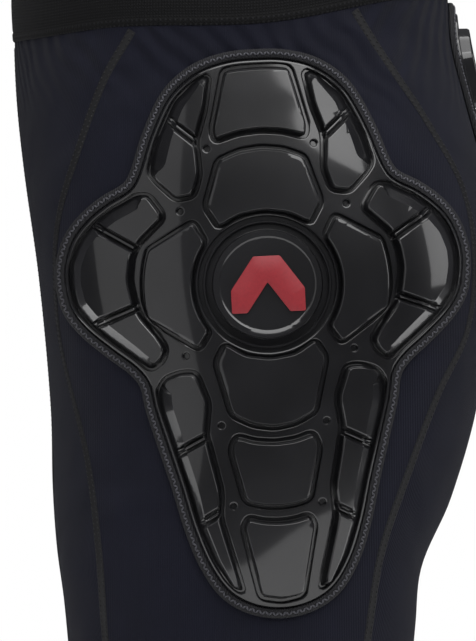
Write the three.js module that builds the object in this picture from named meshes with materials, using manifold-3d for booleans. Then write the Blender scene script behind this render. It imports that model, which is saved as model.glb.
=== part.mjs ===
// Padded impact shorts for skiing and snowboarding: stretch jersey shorts with a moulded pad on each
// hip and one over the tailbone. Millimetres, +Z up, the wearer faces -Y and the wearer's left is +X.
import * as THREE from "three";
import { mergeVertices } from "three/addons/utils/BufferGeometryUtils.js";
import Module from "manifold-3d";

const wasm = await Module();
wasm.setup();

// Heights
const LEG_LENGTH = 168; // hem to crotch
const RISE = 272; // crotch to the waistband's lower edge at the side
const WAISTBAND_HEIGHT = 38;
const HEM_HEIGHT = 28;
const HIP_PAD_ABOVE_CROTCH = 142; // centre of the round boss
const TAILBONE_PAD_ABOVE_CROTCH = 219;

// Girths: half-width is at the side, front and rear reach are from the pad's centre line
const HIP_HALF_WIDTH = 172;
const HEM_HALF_WIDTH = 66;
const HEM_CENTRE = 88; // distance of each leg's centre from the centre plane
const THIGH_CENTRE = 87;

// Sheets
const GAP = 0.3; // between pieces that touch
const JERSEY = 1.5;
const WAISTBAND_THICKNESS = 2.4;
const WAISTBAND_PROUD = 0.8;
const GRIPPER_THICKNESS = 1;
const GRIPPER_HEIGHT = 16;
const BACKING = 0.7;
const LABEL = [44, 26, 0.8]; // width, height, thickness
const REAR_RISE = 20; // of the waistband at the rear, above its lower edge at the side

// Pads: heights are above the backing
const FILM = 0.8; // wall of the moulded shell
const FLANGE = 1.2; // the shell between its cells
const CELL_HEIGHT = 7.5;
const BINDING_WIDTH = 5;
const BINDING_THICKNESS = 1.6;
const BOSS_RADIUS = 26.5;
const BOSS_RING = 36.5; // where the cells round the boss begin
const EMBLEM_THICKNESS = 1.2;
const TAILBONE_LOWEST_LEVEL = 0.3; // of the body's rows under the tailbone pad
const HIP_PAD_LEAN = THREE.MathUtils.degToRad(2.75); // its top leans towards the wearer's front

const CROTCH = LEG_LENGTH;
const WAIST = LEG_LENGTH + RISE;
const OUT = 400; // beyond the whole garment

// ---------------------------------------------------------------- solids

function solid(geometry) {
  const bare = geometry.index ? geometry.toNonIndexed() : geometry.clone();
  bare.deleteAttribute("normal");
  bare.deleteAttribute("uv");
  const merged = mergeVertices(bare, 1e-4);
  return new wasm.Manifold(
    new wasm.Mesh({
      numProp: 3,
      vertProperties: Float32Array.from(merged.attributes.position.array),
      triVerts: Uint32Array.from(merged.index.array),
    }),
  );
}

function geometryOf(made) {
  const { vertProperties, triVerts } = made.getMesh();
  const geometry = new THREE.BufferGeometry();
  geometry.setAttribute("position", new THREE.BufferAttribute(Float32Array.from(vertProperties), 3));
  geometry.setIndex(new THREE.BufferAttribute(Uint32Array.from(triVerts), 1));
  const faceted = geometry.toNonIndexed();
  faceted.computeVertexNormals();
  return faceted;
}

// The same solid reflected in the centre plane.
function otherSide(made) {
  const geometry = geometryOf(made);
  const position = geometry.attributes.position;
  for (let k = 0; k < position.count; k += 3) {
    const [a, b, c] = [0, 1, 2].map((m) => new THREE.Vector3().fromBufferAttribute(position, k + m));
    [a, c, b].forEach((p, m) => position.setXYZ(k + m, -p.x, p.y, p.z));
  }
  return solid(geometry);
}

function block(low, high) {
  const size = high.map((top, k) => top - low[k]);
  const geometry = new THREE.BoxGeometry(...size);
  geometry.translate(...low.map((bottom, k) => bottom + size[k] / 2));
  return solid(geometry);
}

// An outline drawn in a plane, extruded along the axis that looks at that plane.
function prism(outline, axis, from, to) {
  const shape = new THREE.Shape(outline.map(([u, v]) => new THREE.Vector2(u, v)));
  const geometry = new THREE.ExtrudeGeometry(shape, { depth: to - from, bevelEnabled: false });
  geometry.translate(0, 0, from);
  const turn = new THREE.Matrix4();
  if (axis === "x") turn.set(0, 0, 1, 0, 1, 0, 0, 0, 0, 1, 0, 0, 0, 0, 0, 1);
  if (axis === "y") turn.set(-1, 0, 0, 0, 0, 0, 1, 0, 0, 1, 0, 0, 0, 0, 0, 1);
  geometry.applyMatrix4(turn);
  return solid(geometry);
}

// ---------------------------------------------------------------- outlines

const mirrored = (half) => {
  const other = half.filter(([u]) => u > 0).map(([u, v]) => [-u, v]);
  return [...half, ...other.reverse()];
};

const swapped = (outline) => outline.map(([u, v]) => [-u, v]);

function arc(radius, fromDegrees, toDegrees, steps) {
  return Array.from({ length: steps + 1 }, (_, k) => {
    const angle = THREE.MathUtils.degToRad(fromDegrees + ((toDegrees - fromDegrees) * k) / steps);
    return [radius * Math.cos(angle), radius * Math.sin(angle)];
  });
}

function smooth(points, perSpan = 2) {
  const curve = new THREE.SplineCurve(points.map(([u, v]) => new THREE.Vector2(u, v)));
  return curve.getPoints((points.length - 1) * perSpan).map((p) => [p.x, p.y]);
}

// Moves each side of an outline outwards by a distance, or inwards by a negative one.
function grown(outline, distance) {
  const turn = Math.sign(THREE.ShapeUtils.area(outline.map(([u, v]) => new THREE.Vector2(u, v))));
  const n = outline.length;
  return outline.map(([u, v], i) => {
    const [pu, pv] = outline[(i + n - 1) % n];
    const [nu, nv] = outline[(i + 1) % n];
    const a = new THREE.Vector2(v - pv, pu - u).normalize();
    const b = new THREE.Vector2(nv - v, u - nu).normalize();
    const middle = a.clone().add(b).normalize();
    const reach = (turn * distance) / Math.max(middle.dot(a), 0.5);
    return [u + middle.x * reach, v + middle.y * reach];
  });
}

// ---------------------------------------------------------------- the body under the cloth

// level: -1 at the hem, 0 at the crotch, 1 at the waistband's lower edge at the side.
// centre and half are each half-section's centre and half-width, flat how square its sides are.
const STATIONS = [
  { level: -1, centre: HEM_CENTRE, half: HEM_HALF_WIDTH, front: -86, rear: 64, flat: 2.1 },
  { level: -0.6, centre: THIGH_CENTRE + 1, half: 73, front: -92, rear: 72, flat: 2.2 },
  { level: -0.2, centre: THIGH_CENTRE + 1, half: 79.5, front: -98, rear: 79, flat: 2.3 },
  { level: -0.02, centre: THIGH_CENTRE, half: 84, front: -102, rear: 82, flat: 2.5 },
  { level: 0.11, centre: 56, half: 117, front: -104.5, rear: 98, flat: 3 },
  { level: 0.28, centre: 0, half: HIP_HALF_WIDTH + 2, front: -106, rear: 113, flat: 4 },
  { level: 0.52, centre: 0, half: HIP_HALF_WIDTH, front: -112, rear: 121, flat: 5 },
  { level: 0.72, centre: 0, half: HIP_HALF_WIDTH - 4, front: -119.5, rear: 116, flat: 4.2 },
  { level: 0.86, centre: 0, half: HIP_HALF_WIDTH - 9, front: -123.5, rear: 108, flat: 3.2 },
  { level: 1, centre: 0, half: HIP_HALF_WIDTH - 14, front: -125, rear: 101, flat: 2.7 },
  { level: 1.3, centre: 0, half: HIP_HALF_WIDTH - 19, front: -126, rear: 95, flat: 2.6 },
];
const heightOf = (level) => CROTCH + level * (level < 0 ? LEG_LENGTH : RISE);

// A smooth function of height through one value of every station.
function alongBody(key) {
  const heights = STATIONS.map((s) => heightOf(s.level));
  const values = STATIONS.map((s) => s[key]);
  const last = heights.length - 1;
  const slopes = values.map((_, i) => {
    const [a, b] = [Math.max(i - 1, 0), Math.min(i + 1, last)];
    return (values[b] - values[a]) / (heights[b] - heights[a]);
  });
  return (z) => {
    let i = 0;
    while (i < last - 1 && z > heights[i + 1]) i++;
    const width = heights[i + 1] - heights[i];
    const t = (z - heights[i]) / width;
    const rise = values[i] * (1 + 2 * t) * (1 - t) ** 2 + values[i + 1] * t * t * (3 - 2 * t);
    return rise + width * (slopes[i] * t * (1 - t) ** 2 + slopes[i + 1] * t * t * (t - 1));
  };
}
const body = Object.fromEntries(
  ["centre", "half", "front", "rear", "flat"].map((key) => [key, alongBody(key)]),
);

// A point of the left half's surface: turn is -90 degrees at the front, 0 at the side, 90 at the rear.
function skinPoint(turn, z) {
  const angle = THREE.MathUtils.degToRad(turn);
  const across = Math.cos(angle);
  const along = Math.sin(angle);
  const flat = body.flat(z);
  let [low, high] = [0.5, 2];
  for (let k = 0; k < 40; k++) {
    const reach = (low + high) / 2;
    const over = (reach * Math.abs(along)) ** 2 + (reach * Math.abs(across)) ** flat > 1;
    if (over) high = reach;
    else low = reach;
  }
  const middle = (body.rear(z) + body.front(z)) / 2;
  const depth = (body.rear(z) - body.front(z)) / 2;
  return new THREE.Vector3(
    body.centre(z) + body.half(z) * low * across,
    middle + depth * low * along,
    z,
  );
}

// The same point moved outwards by a height above the cloth.
function skinAt(turn, z, height) {
  const step = 0.5;
  const along = skinPoint(turn + step, z).sub(skinPoint(turn - step, z));
  const up = skinPoint(turn, z + step).sub(skinPoint(turn, z - step));
  const normal = along.cross(up).normalize();
  return skinPoint(turn, z).addScaledVector(normal, height);
}

const SIDE_TURNS = [-60, -51, -40, -22, 0, 22, 40, 51, 60];
const RING_TURNS = [-90, -75, ...SIDE_TURNS, 75, 90, 120, 155, 205, 240];
const REAR_TURNS = [51, 60, 75, 90];
const LEVELS = [-1, -0.6, -0.25, -0.05, 0.07, 0.2, 0.4, 0.6, 0.8, 1, 1.3];
const ROWS = LEVELS.map(heightOf);

// A closed surface over a grid of points: grid[row][column], rows rising, columns turning from the
// front past the side to the rear. A ring closes on itself; a patch has a second face behind it.
function stitched(rows, closed) {
  const points = [];
  const faces = [];
  const width = rows[0].length;
  rows.forEach((row) => row.forEach((p) => points.push(p.x, p.y, p.z)));
  const at = (j, i) => j * width + (i % width);
  const spans = closed ? width : width - 1;
  for (let j = 0; j < rows.length - 1; j++) {
    for (let i = 0; i < spans; i++) {
      const [a, b, c, d] = [at(j, i), at(j, i + 1), at(j + 1, i + 1), at(j + 1, i)];
      const onRight = points[3 * a] + points[3 * b] < 0; // there the diagonals are mirrored
      if (onRight) faces.push(a, b, d, b, c, d);
      else faces.push(a, b, c, a, c, d);
    }
  }
  return { points, faces, width };
}

// Everything inside a ring of columns, through rows that stay level. beyond makes it longer at each end.
function filled(columns, heights, height, beyond) {
  const last = heights.length - 1;
  const rows = heights.map((z, j) =>
    columns.map((at) => {
      const p = at(z, height);
      p.z = z + (j === 0 ? -beyond : 0) + (j === last ? beyond : 0);
      return p;
    }),
  );
  const { points, faces, width } = stitched(rows, true);
  const shapeOf = (row) => row.map((p) => new THREE.Vector2(p.x, p.y));
  const cap = THREE.ShapeUtils.triangulateShape(shapeOf(rows[0]), []);
  const topCap = THREE.ShapeUtils.triangulateShape(shapeOf(rows.at(-1)), []);
  const top = last * width;
  cap.forEach(([a, b, c]) => faces.push(c, b, a));
  topCap.forEach(([a, b, c]) => faces.push(top + a, top + b, top + c));
  return indexed(points, faces);
}

function indexed(points, faces) {
  const geometry = new THREE.BufferGeometry();
  geometry.setAttribute("position", new THREE.Float32BufferAttribute(points, 3));
  geometry.setIndex(faces);
  return solid(geometry);
}

// A sheet over part of the surface, between two heights above the cloth.
function sheet(columns, rows, low, high) {
  const face = (height) => rows.map((z) => columns.map((at) => at(z, height)));
  const outer = stitched(face(high), false);
  const inner = stitched(face(low), false);
  const shift = rows.length * columns.length;
  const faces = [...outer.faces];
  for (let k = 0; k < inner.faces.length; k += 3) {
    const [a, b, c] = inner.faces.slice(k, k + 3);
    faces.push(shift + a, shift + c, shift + b);
  }
  const rim = [];
  const [last, right] = [rows.length - 1, columns.length - 1];
  for (let i = 0; i < right; i++) rim.push([0, i, 0, i + 1], [last, i + 1, last, i]);
  for (let j = 0; j < last; j++) rim.push([j, right, j + 1, right], [j + 1, 0, j, 0]);
  rim.forEach(([j, i, k, m]) => {
    const [a, b] = [j * columns.length + i, k * columns.length + m];
    faces.push(b, a, shift + a, b, shift + a, shift + b);
  });
  return indexed([...outer.points, ...inner.points], faces);
}

const leftColumn = (turn) => (z, height) => skinAt(turn, z, height);
const rightColumn = (turn) => (z, height) => {
  const p = skinAt(turn, z, height);
  p.x = -p.x;
  return p;
};
const LEG_RING = RING_TURNS.map(leftColumn);
const OUTER_TURNS = [-90, -75, ...SIDE_TURNS, 75, 90];
const TORSO_RING = [
  ...OUTER_TURNS.map(leftColumn),
  ...OUTER_TURNS.slice(1, -1).reverse().map(rightColumn),
];
const TORSO_ROWS = ROWS.filter((z) => z > heightOf(0.7));
const HIP_COLUMNS = SIDE_TURNS.map(leftColumn);
const HIP_ROWS = ROWS.filter((z) => z > heightOf(-0.5) && z < heightOf(1.1));
const REAR_COLUMNS = [
  ...REAR_TURNS.map(leftColumn),
  ...REAR_TURNS.slice(0, -1).reverse().map(rightColumn),
];

const legSheet = (high, low) =>
  filled(LEG_RING, ROWS, high, 0).subtract(filled(LEG_RING, ROWS, low, 1));

// ---------------------------------------------------------------- the garment

// Seen from the side: reach from the pad's centre line, height above or below a landmark.
const WAISTLINE = [[-160, -9], [-125, -8], [-75, -1.5], [0, 0.5], [60, 11.5], [110, 20], [160, 26]];
const FRONT_SEAM = [
  [-67, -173], [-74, -100], [-80.5, -36], [-84, 10], [-89.5, 54], [-102.5, 111],
  [-105.5, 150], [-103, 178], [-93.5, 210], [-80.5, 245], [-65, 273], [-52, 310],
];
const REAR_SEAM = [
  [30, 310], [45.5, 279], [65, 248.5], [82.5, 223], [100, 192], [106.5, 160],
  [103, 118], [88, 87], [75, 54.5], [58.5, 6.5], [52, -36], [46, -100], [42, -173],
];
const GUSSET = [[-66, 0], [-10, -70], [48, 0], [-10, 48]];
const INSEAM = -10; // where the front and back panels meet inside the leg
const INNER_SIDE = THIGH_CENTRE; // the side panel stays outside this

const raised = (outline, z) => outline.map(([y, v]) => [y, v + z]);

function aboveWaistline(offset) {
  const line = smooth(raised(WAISTLINE, WAIST + offset), 1);
  return prism([...line, [160, OUT * 2], [-160, OUT * 2]], "x", -OUT, OUT);
}

function garment() {
  const pieces = {};
  const left = block([GAP / 2, -OUT, HEM_HEIGHT], [OUT, OUT, OUT * 2]);
  const jersey = legSheet(0, -JERSEY);
  const panels = jersey.intersect(left).subtract(aboveWaistline(-GAP));
  const eye = raised([...smooth(FRONT_SEAM, 1), ...smooth(REAR_SEAM, 1)], CROTCH);
  const diamond = raised(GUSSET, CROTCH);
  const side = panels.intersect(prism(eye, "x", INNER_SIDE, OUT));
  const rest = panels
    .subtract(prism(grown(eye, GAP), "x", INNER_SIDE, OUT))
    .subtract(prism(grown(diamond, GAP), "x", -INNER_SIDE, INNER_SIDE));
  const front = block([-OUT, -OUT, -OUT], [OUT, INSEAM - GAP / 2, OUT * 2]);
  const back = block([-OUT, INSEAM + GAP / 2, -OUT], [OUT, OUT, OUT * 2]);
  pieces.side_panel = side;
  pieces.front_panel = rest.intersect(front);
  pieces.back_panel = rest.intersect(back);

  const band = legSheet(GAP, -JERSEY - GAP / 2);
  pieces.hem_band = band.intersect(block([-OUT, -OUT, -1], [OUT, OUT, HEM_HEIGHT - GAP]));
  const inside = -JERSEY - 1.5 * GAP;
  const low = (HEM_HEIGHT - GRIPPER_HEIGHT) / 2;
  pieces.hem_gripper = legSheet(inside, inside - GRIPPER_THICKNESS).intersect(
    block([-OUT, -OUT, low], [OUT, OUT, low + GRIPPER_HEIGHT]),
  );
  return { pieces, jersey, diamond };
}

function gusset(jersey, diamond) {
  const joined = 0.05; // the two halves share this much past the centre plane
  const half = jersey
    .intersect(prism(diamond, "x", -joined, INNER_SIDE))
    .intersect(block([-joined, -OUT, -OUT], [OUT, OUT, OUT]));
  return half.add(otherSide(half));
}

function waistband() {
  const ring = (height, beyond) => filled(TORSO_RING, TORSO_ROWS, height, beyond);
  return ring(WAISTBAND_PROUD, 0)
    .subtract(ring(WAISTBAND_PROUD - WAISTBAND_THICKNESS, 1))
    .intersect(aboveWaistline(0))
    .subtract(aboveWaistline(WAISTBAND_HEIGHT));
}

function careLabel() {
  const [width, height, thickness] = LABEL;
  const inside = WAISTBAND_PROUD - WAISTBAND_THICKNESS - GAP;
  const middle = WAIST + REAR_RISE + WAISTBAND_HEIGHT / 2;
  return sheet(REAR_COLUMNS, TORSO_ROWS, inside - thickness, inside).intersect(
    block([-width / 2, 0, middle - height / 2], [width / 2, OUT, middle + height / 2]),
  );
}

// ---------------------------------------------------------------- the pads

// Outlines are drawn flat: across and up from the centre of the boss.
const lobes = (...curves) => mirrored(curves.flatMap((points) => smooth(points, 1)));
const HIP_OUTLINE = lobes(
  [[0, 112], [15, 111], [30, 106], [43, 95], [53, 76], [60, 57], [63, 51]],
  [[77, 42.5], [87, 34.6], [94, 25.5], [98, 14], [98, 2], [96, -8.5], [89, -18.5], [77.5, -29]],
  [[65, -39], [60, -47], [57.5, -60], [52, -80], [46.5, -100], [41.5, -120], [35, -138]],
  [[26, -152], [14, -159.5], [0, -162]],
);
const KIDNEY = [
  ...arc(BOSS_RING, -37, 37, 3), [35, 33], ...arc(62, 18, -18, 2), [35, -31],
];
const UPPER_FLANK = [
  [23, 104], [26, 87], [32, 70], [31, 52], [34, 41], [43, 41], [55, 54], [52.5, 67], [46, 85], [36, 97],
];
const WING = [
  [54, 36], [65, 22], [69, 0], [66, -17], [54, -31], [63, -36], [75, -25.5], [86, -16], [92, -7.5],
  [94, 2], [94, 13], [90.5, 23.5], [84.5, 31.5], [74.5, 39], [62, 46.5],
];
const LOWER_FLANK = [
  [54.5, -51], [45, -43], [36, -41], [31, -58], [33, -73], [27, -102], [28, -117], [16, -153],
  [22, -149], [31, -138], [36.5, -124], [42, -102], [46.5, -85],
];
const HIP_CELLS = {
  top: mirrored([[0, 109], [16.3, 108], [23.5, 78], [22.5, 72.5], [11, 76], [0, 77]]),
  upper_centre: mirrored([[0, 68], [21.5, 62.5], [28.8, 40], [22.5, 29], [12, 34.6], [0, 36.5]]),
  boss: arc(BOSS_RADIUS, 0, 337.5, 15),
  lower_centre_1: mirrored([
    [0, -36], [11.5, -34.2], [22, -28], [27.3, -38], [20.6, -64.5], [10, -70], [0, -71.6],
  ]),
  lower_centre_2: mirrored([[0, -79], [10, -78], [19, -75], [22, -82], [16, -108], [0, -111]]),
  lower_centre_3: mirrored([[0, -118.7], [15, -116], [17.8, -120.7], [10, -156], [0, -158]]),
  rear_kidney: KIDNEY,
  front_kidney: swapped(KIDNEY),
  rear_upper_flank: UPPER_FLANK,
  front_upper_flank: swapped(UPPER_FLANK),
  rear_wing: WING,
  front_wing: swapped(WING),
  rear_lower_flank: LOWER_FLANK,
  front_lower_flank: swapped(LOWER_FLANK),
};
const EMBLEM = mirrored([[0, 14], [5, 14], [18, -5], [18, -14], [12, -14], [0, 3]]);

const TAILBONE_OUTLINE = mirrored(
  smooth([[0, 60], [30, 59], [48, 52], [55, 36], [52, 10], [40, -22], [24, -50], [12, -60], [0, -63]], 1),
);
const TAILBONE_SIDE = [[10, 52], [28, 51], [42, 46], [48, 35], [46, 12], [30, 10], [12, 16]];
const TAILBONE_LOW = [[27, 1], [43, 2], [34, -22], [22, -44], [15, -50], [15, -28]];
const TAILBONE_CELLS = {
  upper_left: swapped(TAILBONE_SIDE),
  upper_right: TAILBONE_SIDE,
  centre: mirrored([[0, 9], [9, 8], [20, 2], [9, -26], [0, -29]]),
  lower_left: swapped(TAILBONE_LOW),
  lower_right: TAILBONE_LOW,
  tip: mirrored([[0, -36], [8, -34], [9, -54], [0, -57]]),
};

const leant = (outline, lean, height) =>
  outline.map(([u, v]) => [
    u * Math.cos(lean) - v * Math.sin(lean),
    u * Math.sin(lean) + v * Math.cos(lean) + height,
  ]);

// One pad: what it lies on is given by columns and rows, cut is how its outlines become prisms.
function pad({ columns, rows, outline, cells, cut }) {
  const layer = (low, high) => sheet(columns, rows, low, high);
  const shellLow = 2 * GAP + BACKING;
  const top = shellLow + CELL_HEIGHT;
  const pieces = { backing: layer(GAP, GAP + BACKING).intersect(cut(grown(outline, GAP + BINDING_WIDTH))) };
  pieces.binding = layer(shellLow, shellLow + BINDING_THICKNESS)
    .intersect(cut(grown(outline, GAP + BINDING_WIDTH)))
    .subtract(cut(grown(outline, GAP)));

  const raisedPart = layer(shellLow, top);
  const hollow = layer(GAP, top - FILM);
  const filling = layer(shellLow, top - FILM - GAP);
  let shell = layer(shellLow, shellLow + FLANGE).intersect(cut(outline));
  Object.values(cells).forEach((cell) => {
    shell = shell.add(raisedPart.intersect(cut(cell)));
  });
  Object.entries(cells).forEach(([name, cell]) => {
    shell = shell.subtract(hollow.intersect(cut(grown(cell, -FILM))));
    pieces["foam_" + name] = filling.intersect(cut(grown(cell, -FILM - GAP)));
  });
  pieces.shell = shell;
  return { pieces, top };
}

function hipPad() {
  const height = CROTCH + HIP_PAD_ABOVE_CROTCH;
  const cut = (outline) => prism(leant(outline, HIP_PAD_LEAN, height), "x", INNER_SIDE, OUT);
  const made = pad({ columns: HIP_COLUMNS, rows: HIP_ROWS, outline: HIP_OUTLINE, cells: HIP_CELLS, cut });
  const low = made.top + GAP;
  made.pieces.emblem = sheet(HIP_COLUMNS, HIP_ROWS, low, low + EMBLEM_THICKNESS).intersect(cut(EMBLEM));
  return made.pieces;
}

function tailbonePad() {
  const height = CROTCH + TAILBONE_PAD_ABOVE_CROTCH;
  const cut = (outline) => prism(leant(outline, 0, height), "y", 0, OUT);
  const rows = ROWS.filter((z) => z > heightOf(TAILBONE_LOWEST_LEVEL));
  return pad({ columns: REAR_COLUMNS, rows, outline: TAILBONE_OUTLINE, cells: TAILBONE_CELLS, cut }).pieces;
}

// ---------------------------------------------------------------- the assembly

const finish = (color, roughness) => ({ color, roughness, metalness: 0 });
const FINISHES = {
  jersey: finish(0x181923, 0.85),
  elastic: finish(0x121416, 0.8),
  silicone: finish(0x24262a, 0.55),
  film: finish(0x101012, 0.3),
  foam: finish(0x4a4d52, 0.9),
  backing: finish(0x16171b, 0.9),
  binding: finish(0x323237, 0.8),
  emblem: finish(0xa52630, 0.45),
  label: finish(0x2a2b2e, 0.8),
};
const finishOf = (name) => {
  if (name.includes("foam")) return FINISHES.foam;
  if (name.includes("gripper")) return FINISHES.silicone;
  if (name.includes("waistband") || name.includes("hem_band")) return FINISHES.elastic;
  if (name.endsWith("shell")) return FINISHES.film;
  return FINISHES[name.split("_").at(-1)] ?? FINISHES.jersey;
};

function meshesOf(pieces, prefix) {
  return Object.entries(pieces).map(([name, made]) => {
    const mesh = new THREE.Mesh(geometryOf(made), new THREE.MeshStandardMaterial(finishOf(prefix + name)));
    mesh.name = prefix + name;
    return mesh;
  });
}

const { pieces: halfGarment, jersey, diamond } = garment();
const hip = hipPad();
const sideOf = (side) => {
  const group = new THREE.Group();
  group.add(...meshesOf(halfGarment, side + "_"), ...meshesOf(hip, side + "_hip_"));
  return group;
};
const leftSide = sideOf("left");
const rightSide = sideOf("right");
rightSide.scale.x = -1;

const group = new THREE.Group();
group.name = "padded_impact_shorts";
group.add(leftSide, rightSide);
group.add(...meshesOf(tailbonePad(), "tailbone_"));
group.add(
  ...meshesOf(
    { waistband: waistband(), crotch_gusset: gusset(jersey, diamond), care_label: careLabel() },
    "",
  ),
);

// The part stands on its hems with its box's middle over the origin.
group.updateMatrixWorld(true);
const box = new THREE.Box3().setFromObject(group);
const middle = box.getCenter(new THREE.Vector3());
group.position.set(-middle.x, -middle.y, -box.min.z);

export default group;
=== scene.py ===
import math

import bmesh
import bpy
from mathutils import Matrix, Vector


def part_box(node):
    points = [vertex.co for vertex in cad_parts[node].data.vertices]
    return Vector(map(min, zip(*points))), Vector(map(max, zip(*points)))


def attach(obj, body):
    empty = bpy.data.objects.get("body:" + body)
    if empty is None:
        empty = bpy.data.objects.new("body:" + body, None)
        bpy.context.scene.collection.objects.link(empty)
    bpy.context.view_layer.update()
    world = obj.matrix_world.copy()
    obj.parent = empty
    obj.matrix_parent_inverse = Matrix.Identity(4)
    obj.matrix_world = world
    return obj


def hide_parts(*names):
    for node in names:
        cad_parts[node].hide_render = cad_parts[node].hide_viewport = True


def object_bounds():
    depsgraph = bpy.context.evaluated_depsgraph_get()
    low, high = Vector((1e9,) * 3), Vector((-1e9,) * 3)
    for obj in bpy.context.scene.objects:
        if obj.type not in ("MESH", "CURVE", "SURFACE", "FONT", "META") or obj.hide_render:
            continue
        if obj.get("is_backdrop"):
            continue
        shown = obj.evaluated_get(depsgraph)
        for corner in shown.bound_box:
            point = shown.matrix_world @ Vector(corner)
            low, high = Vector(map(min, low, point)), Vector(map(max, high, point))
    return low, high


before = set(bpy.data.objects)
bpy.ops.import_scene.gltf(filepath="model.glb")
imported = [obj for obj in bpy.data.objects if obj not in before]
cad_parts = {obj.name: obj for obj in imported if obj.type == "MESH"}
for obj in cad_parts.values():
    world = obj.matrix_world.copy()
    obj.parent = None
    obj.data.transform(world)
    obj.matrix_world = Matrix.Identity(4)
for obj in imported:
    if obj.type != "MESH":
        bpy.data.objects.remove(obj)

bl_info = {
    "name": "Padded impact shorts",
    "version": (1, 0, 0),
    "blender": (4, 5, 0),
    "location": "3D View > Sidebar > Shorts",
    "description": "Builds snow-sport impact shorts: jersey panels, hip and tailbone pads, waistband and stage",
    "category": "Add Mesh",
}

# ------------------------------------------------------------------ places taken from the frame

MM = 0.001
CAD_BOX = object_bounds()


def middle_mm(node):
    low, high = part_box(node)
    return [(a + b) / 2 / MM for a, b in zip(low, high)]


_, CENTRE_Y, HIP_Z = middle_mm("left_hip_foam_boss")  # the hip pad's centre, from the side
TAIL_Z = (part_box("tailbone_backing")[0][2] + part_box("tailbone_backing")[1][2]) / 2 / MM + 1.5
WAIST_RISE = 130  # from the hip pad's centre to the waistband
CROTCH_DROP = 142  # from the hip pad's centre to the crotch
WAIST_Z = HIP_Z + WAIST_RISE
CROTCH_Z = HIP_Z - CROTCH_DROP
HEM_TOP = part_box("left_hem_band")[1][2] / MM
BAND_HEIGHT = 38


# ------------------------------------------------------------------ the body under the cloth, in mm

# level: -1 at the hem, 0 at the crotch, 1 at the waistband; the other values are the half-section's
# centre, half-width, front and rear reach, and how square its side is.
STATIONS = [
    (-1, 88, 66, -86, 64, 2.1),
    (-0.6, 88, 73, -92, 72, 2.2),
    (-0.2, 88, 79.5, -98, 79, 2.3),
    (-0.02, 87, 84, -102, 82, 2.5),
    (0.11, 56, 117, -104.5, 98, 3),
    (0.28, 0, 174, -106, 113, 4),
    (0.52, 0, 172, -112, 121, 5),
    (0.72, 0, 168, -119.5, 116, 4.2),
    (0.86, 0, 163, -123.5, 108, 3.2),
    (1, 0, 158, -125, 101, 2.7),
    (1.3, 0, 153, -126, 95, 2.6),
]


def height_of(level):
    return CROTCH_Z + level * (CROTCH_Z if level < 0 else WAIST_Z - CROTCH_Z)


def along_body(column):
    """A smooth function of height through one value of every station."""
    heights = [height_of(s[0]) for s in STATIONS]
    values = [s[column] for s in STATIONS]
    last = len(values) - 1
    slopes = []
    for i in range(last + 1):
        a, b = max(i - 1, 0), min(i + 1, last)
        slopes.append((values[b] - values[a]) / (heights[b] - heights[a]))

    def value(z):
        i = 0
        while i < last - 1 and z > heights[i + 1]:
            i += 1
        width = heights[i + 1] - heights[i]
        t = (z - heights[i]) / width
        ends = values[i] * (1 + 2 * t) * (1 - t) ** 2 + values[i + 1] * t * t * (3 - 2 * t)
        return ends + width * (slopes[i] * t * (1 - t) ** 2 + slopes[i + 1] * t * t * (t - 1))

    return value


body_centre, body_half, body_front, body_rear, body_flat = (along_body(k) for k in range(1, 6))


def section(z):
    front, rear = body_front(z), body_rear(z)
    return body_centre(z), body_half(z), (rear + front) / 2, (rear - front) / 2, body_flat(z)


def skin_side(y, z, out=1):
    """The skin's x at a depth and height: the outer side, or the inner side with out = -1."""
    centre, half, middle, depth, flat = section(z)
    share = min(abs((y - middle) / depth), 0.9995)
    return centre + out * half * (1 - share ** 2) ** (1 / flat)


def skin_turn(turn, z):
    """A point of the left half's skin: turn is -90 at the front, 0 at the side, 90 at the rear."""
    centre, half, middle, depth, flat = section(z)
    across, along = math.cos(math.radians(turn)), math.sin(math.radians(turn))
    low, high = 0.5, 2.0
    for _ in range(30):
        reach = (low + high) / 2
        if (reach * abs(along)) ** 2 + (reach * abs(across)) ** flat > 1:
            high = reach
        else:
            low = reach
    return Vector((centre + half * low * across, middle + depth * low * along, z))


def turn_of(y, z):
    """The turn at which the skin's outer side has this depth."""
    low, high = -90.0, 90.0
    for _ in range(30):
        turn = (low + high) / 2
        if skin_turn(turn, z).y < y:
            low = turn
        else:
            high = turn
    return (low + high) / 2


def off_turn(turn, z, height):
    """A skin point moved outwards by a height above the cloth."""
    normal = (skin_turn(turn + 0.5, z) - skin_turn(turn - 0.5, z)).cross(
        skin_turn(turn, z + 0.5) - skin_turn(turn, z - 0.5)
    )
    return skin_turn(turn, z) + normal.normalized() * height


def off_side(y, z, height, upright=0.0):
    """A point of the outer side moved outwards; upright leans its direction towards straight out."""
    here = Vector((skin_side(y, z), y, z))
    along = Vector((skin_side(y + 0.5, z) - skin_side(y - 0.5, z), 1, 0))
    up = Vector((skin_side(y, z + 0.5) - skin_side(y, z - 0.5), 0, 1))
    normal = along.cross(up).normalized() * (1 - upright) + Vector((upright, 0, 0))
    return here + normal.normalized() * height


def spline(points):
    """A smooth function through points."""
    xs = [p[0] for p in points]
    ys = [p[1] for p in points]
    last = len(xs) - 1
    slopes = []
    for i in range(last + 1):
        a, b = max(i - 1, 0), min(i + 1, last)
        slopes.append((ys[b] - ys[a]) / (xs[b] - xs[a]))

    def value(x):
        x = min(max(x, xs[0]), xs[-1])
        i = 0
        while i < last - 1 and x > xs[i + 1]:
            i += 1
        w = xs[i + 1] - xs[i]
        t = (x - xs[i]) / w
        ends = ys[i] * (1 + 2 * t) * (1 - t) ** 2 + ys[i + 1] * t * t * (3 - 2 * t)
        return ends + w * (slopes[i] * t * (1 - t) ** 2 + slopes[i + 1] * t * t * (t - 1))

    return value


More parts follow.
